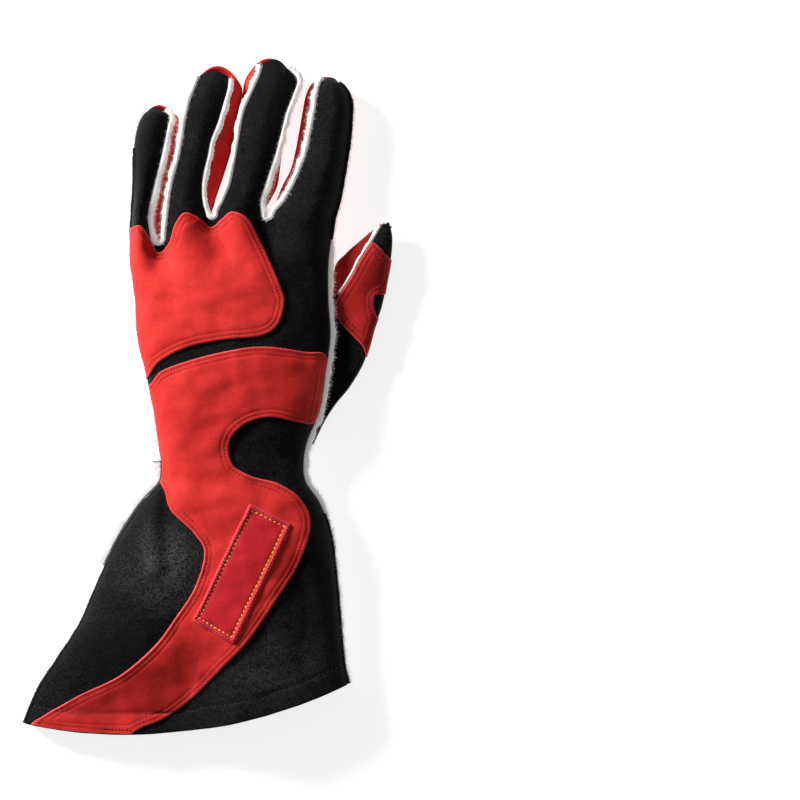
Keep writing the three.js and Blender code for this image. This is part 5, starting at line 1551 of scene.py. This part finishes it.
# Zigzag stitches that hold the elastic in the palm's end at the wrist. They run straight across
# the palm and follow its gathers up and down.
palm_ground = Ground(palm_points, palm_normals)
zig = [(-26 + 4.6 * k, -17.6 if k % 2 else -23.4) for k in range(12)]
zig = np.concatenate([mix(np.array(a), np.array(b), np.linspace(0, 1, 9)[:-1, None])
                      for a, b in zip(zig, zig[1:])])
place, normal, outside = palm_ground.under(zig)
zigzag = sew("wrist_zigzag_stitches", [on_face(place, normal, ~outside)], red_thread,
             1.7, 1.35, 0.55, 0.4, 111)

# Thumb patch: red suede over the middle of the thumb's back, with a rounded notch at its edge,
# sewn down like the other two patches.
THUMB_PATCH_OUTLINE = [
    (75.8, 47.6), (80.6, 40.8), (86.4, 34.8), (91, 29.6), (94, 22), (104, 20), (108, 44),
    (99.6, 46.2), (97.4, 52.4), (97.2, 56), (98.4, 60), (103.6, 60.4), (114, 62), (114, 80),
    (107, 80.2), (101, 87), (95.8, 90.4), (91, 86), (80, 72), (75, 60)]
thumb_ground = Ground(first, thumb_normals.reshape(thumb_points.shape)[:, :QUARTER + 1])
outline = closed_curve(THUMB_PATCH_OUTLINE, 0.9)
# the patch takes the thumb's darker suede, painted shade
thumb_patch, outline, free = laid_piece("thumb_patch_suede", outline, thumb_ground, GAP,
                                        PATCH_PROFILE, thumb_suede_painted_shade, 1.3, cut_edge=cut_suede)
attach(thumb_patch, "root")
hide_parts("thumb_patch")
rows = edge_rows(outline, free, thumb_ground, GAP, PATCH_PROFILE, STITCH_ROWS)
thumb_stitches = sew("thumb_patch_stitches", rows, red_thread, *PATCH_STITCH, 97)

# Label patch: a small blank red patch on the wrist patch, its border padded and a dashed
# yellow line of stitches just inside the border.
LABEL_CORNERS = np.array([(25.5, -60.9), (49.9, -73.1), (16.8, -142.1), (-7, -128.2)])
LABEL_ROUND = 1.6
LABEL_BORDER = 2.35
LABEL_LIFT = 2 * GAP + 1.25
LABEL_PROFILE = [(0, 0.5), (0.15, 0.9), (0.5, 1.25), (1.2, 1.4), (2.0, 1.35), (2.6, 1.0),
                 (3.1, 0.7), (3.6, 0.8), (4.6, 0.95), (12, 1.0)]


def rounded_corners(corners, radius, step):
    """Closed outline with straight sides and rounded corners."""
    out = []
    both = zip(np.roll(corners, 1, axis=0), corners, np.roll(corners, -1, axis=0))
    for before, here, after in both:
        a = here + (before - here) / np.linalg.norm(before - here) * radius
        b = here + (after - here) / np.linalg.norm(after - here) * radius
        for t in np.linspace(0, 1, 6):
            out.append((1 - t) ** 2 * a + 2 * t * (1 - t) * here + t * t * b)
    return even_steps(counter_clockwise(np.array(out)), step)


label_red = suede_material("label_red", (0.56, 0.006, 0.012), (0.66, 0.012, 0.020), 0.7)
label_edge = suede_material("label_edge", (0.70, 0.022, 0.034), (0.86, 0.050, 0.062), 1.0)
yellow_thread = thread_material("yellow_thread", (0.80, 0.50, 0.05), (0.95, 0.72, 0.14))
outline = rounded_corners(LABEL_CORNERS, LABEL_ROUND, 0.7)
label_patch, outline, free = laid_piece(
    "blank_label_patch", outline, back_ground, LABEL_LIFT, LABEL_PROFILE, label_red, 1.2,
    rings=(0.15, 0.5, 0.85, 1.2, 1.6, 2.0, 2.3, 2.6, 2.85, 3.1, 3.35, 3.6, 4.1, 4.6))
label_patch.data.materials.append(label_edge)
corners = np.array([vertex.co[:2] for vertex in label_patch.data.vertices]) * 1000 + SHIFT[:2]
away = distances(outline_tree(outline), corners)
border_faces = [away[list(face.vertices)].max() < LABEL_BORDER for face in label_patch.data.polygons]
label_patch.data.polygons.foreach_set("material_index", np.array(border_faces, np.int32))
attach(label_patch, "root")
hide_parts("label_patch")
rows = edge_rows(outline, free, back_ground, LABEL_LIFT, LABEL_PROFILE, (3.1,))
dashes = sew("label_dashes", rows, yellow_thread, 2.6, 1.9, 0.75, 0.6, 101)
rows = edge_rows(outline, free, back_ground, LABEL_LIFT, LABEL_PROFILE, (1.3,))
border = sew("label_border_stitches", rows, red_thread, 1.9, 1.2, 0.6, 0.4, 102)

# Palm pad: black suede over thin foam, sewn through along one straight seam and two crossing
# curves. It is what the hand of the glove rests on, so its face is flat there.
PAD_THICK = 1.2
PAD_OUTLINE = [
    (-38.6, 88), (-37.2, 97), (-33, 102.6), (-29, 103.6), (-24, 98.6), (-18.6, 93.4), (-14, 93.2),
    (-10.6, 99.4), (-7.6, 105), (-3.8, 107.4), (0, 104.6), (4, 96.4), (8.5, 94), (13, 97.4),
    (17, 104.6), (22, 107.4), (28, 101), (35, 95.6), (41, 97.4), (48, 103.6), (55, 105), (59, 98),
    (60.4, 84), (58, 69.6), (50, 66.8), (36, 65), (27.5, 63), (21.4, 58.6), (18.6, 51), (17.4, 40),
    (16.4, 28), (15, 16), (13, 7), (9, 2.4), (2, 0.4), (-6, 0.2), (-14.6, 2.6), (-21.6, 7.4),
    (-25.8, 13.4), (-30.6, 22), (-33.6, 33), (-35.4, 48), (-36.8, 62), (-38.4, 76)]
QUILT_SEAMS = [
    [(-16, 81.8), (4, 82.2), (24, 81.2), (42, 81.6), (57, 82)],
    [(-16, 81.8), (-27, 68), (-30, 52), (-26, 38), (-17, 27), (-6.4, 19.1), (6, 11)],
    [(-16, 81.8), (-4, 66), (6, 50), (9.6, 38), (6.5, 28), (-0.5, 22), (-8, 17), (-20, 12)]]
PAD_RINGS = (0.25, 0.6, 1.1, 1.8, 2.6)
PAD_SPACING = 1.7
QUILT_OFFSETS = (-1.8, -0.9, 0, 0.9, 1.8)

pad_black = suede_material("black_suede", (0.005, 0.005, 0.0055), (0.011, 0.011, 0.012), 0.8, 0.12)
outline = closed_curve(PAD_OUTLINE, 0.9)
tree = outline_tree(outline)
quilt = [through(seam, np.linspace(0, len(seam) - 1, len(seam) * 30)) for seam in QUILT_SEAMS]
quilt = [even_steps(seam, 0.8, closed=False) for seam in quilt]
quilt_tree = outline_tree(np.concatenate(quilt))
points = ring_points(outline, tree, PAD_RINGS)
for seam in quilt:
    run = np.gradient(seam, axis=0)
    across = np.stack([-run[:, 1], run[:, 0]], axis=1)
    across /= np.linalg.norm(across, axis=1, keepdims=True)
    for offset in QUILT_OFFSETS:
        moved = seam + across * offset
        good = (distances(tree, moved) > 3.2) & (distances(quilt_tree, moved) > abs(offset) * 0.95)
        points.append(moved[good])
grid = grid_points(outline, PAD_SPACING, 0)
points.append(grid[(distances(tree, grid) > 3.4) & (distances(quilt_tree, grid) > 2.6)])
flat, faces = triangles(outline, points)
away = distances(tree, flat)
groove = 0.55 * np.exp(-(distances(quilt_tree, flat) / 1.1) ** 2) * smoothstep((away - 2) / 2)
under = 0.45 * (1 - smoothstep(away / 1.4)) + groove
under += 0.22 * np.exp(-((away - 2.0) / 0.5) ** 2)
top = np.column_stack([flat, np.full(len(flat), PAD_THICK) - 0.25 * (1 - smoothstep(away / 0.9))])
bottom = np.column_stack([flat, np.minimum(under, PAD_THICK - 0.3)])
palm_pad = make_object("padded_palm", np.concatenate([top, bottom]), slab(faces, len(flat)),
                       pad_black)
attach(palm_pad, "root")
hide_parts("palm_pad")
edge_seam = outline + inward(outline) * 2.0
edge_seam = edge_seam[distances(tree, edge_seam) > 1.9]
lines = [(seam[distances(tree, seam) > 3], 0.5) for seam in quilt] + [(edge_seam, 0.2)]
rows = [(np.column_stack([line, np.full(len(line), height)]), np.tile((0, 0, -1.0), (len(line), 1)))
        for line, height in lines]
quilting = sew("palm_pad_stitches", rows, black_thread, 2.6, 1.9, 0.5, 0.35, 105)

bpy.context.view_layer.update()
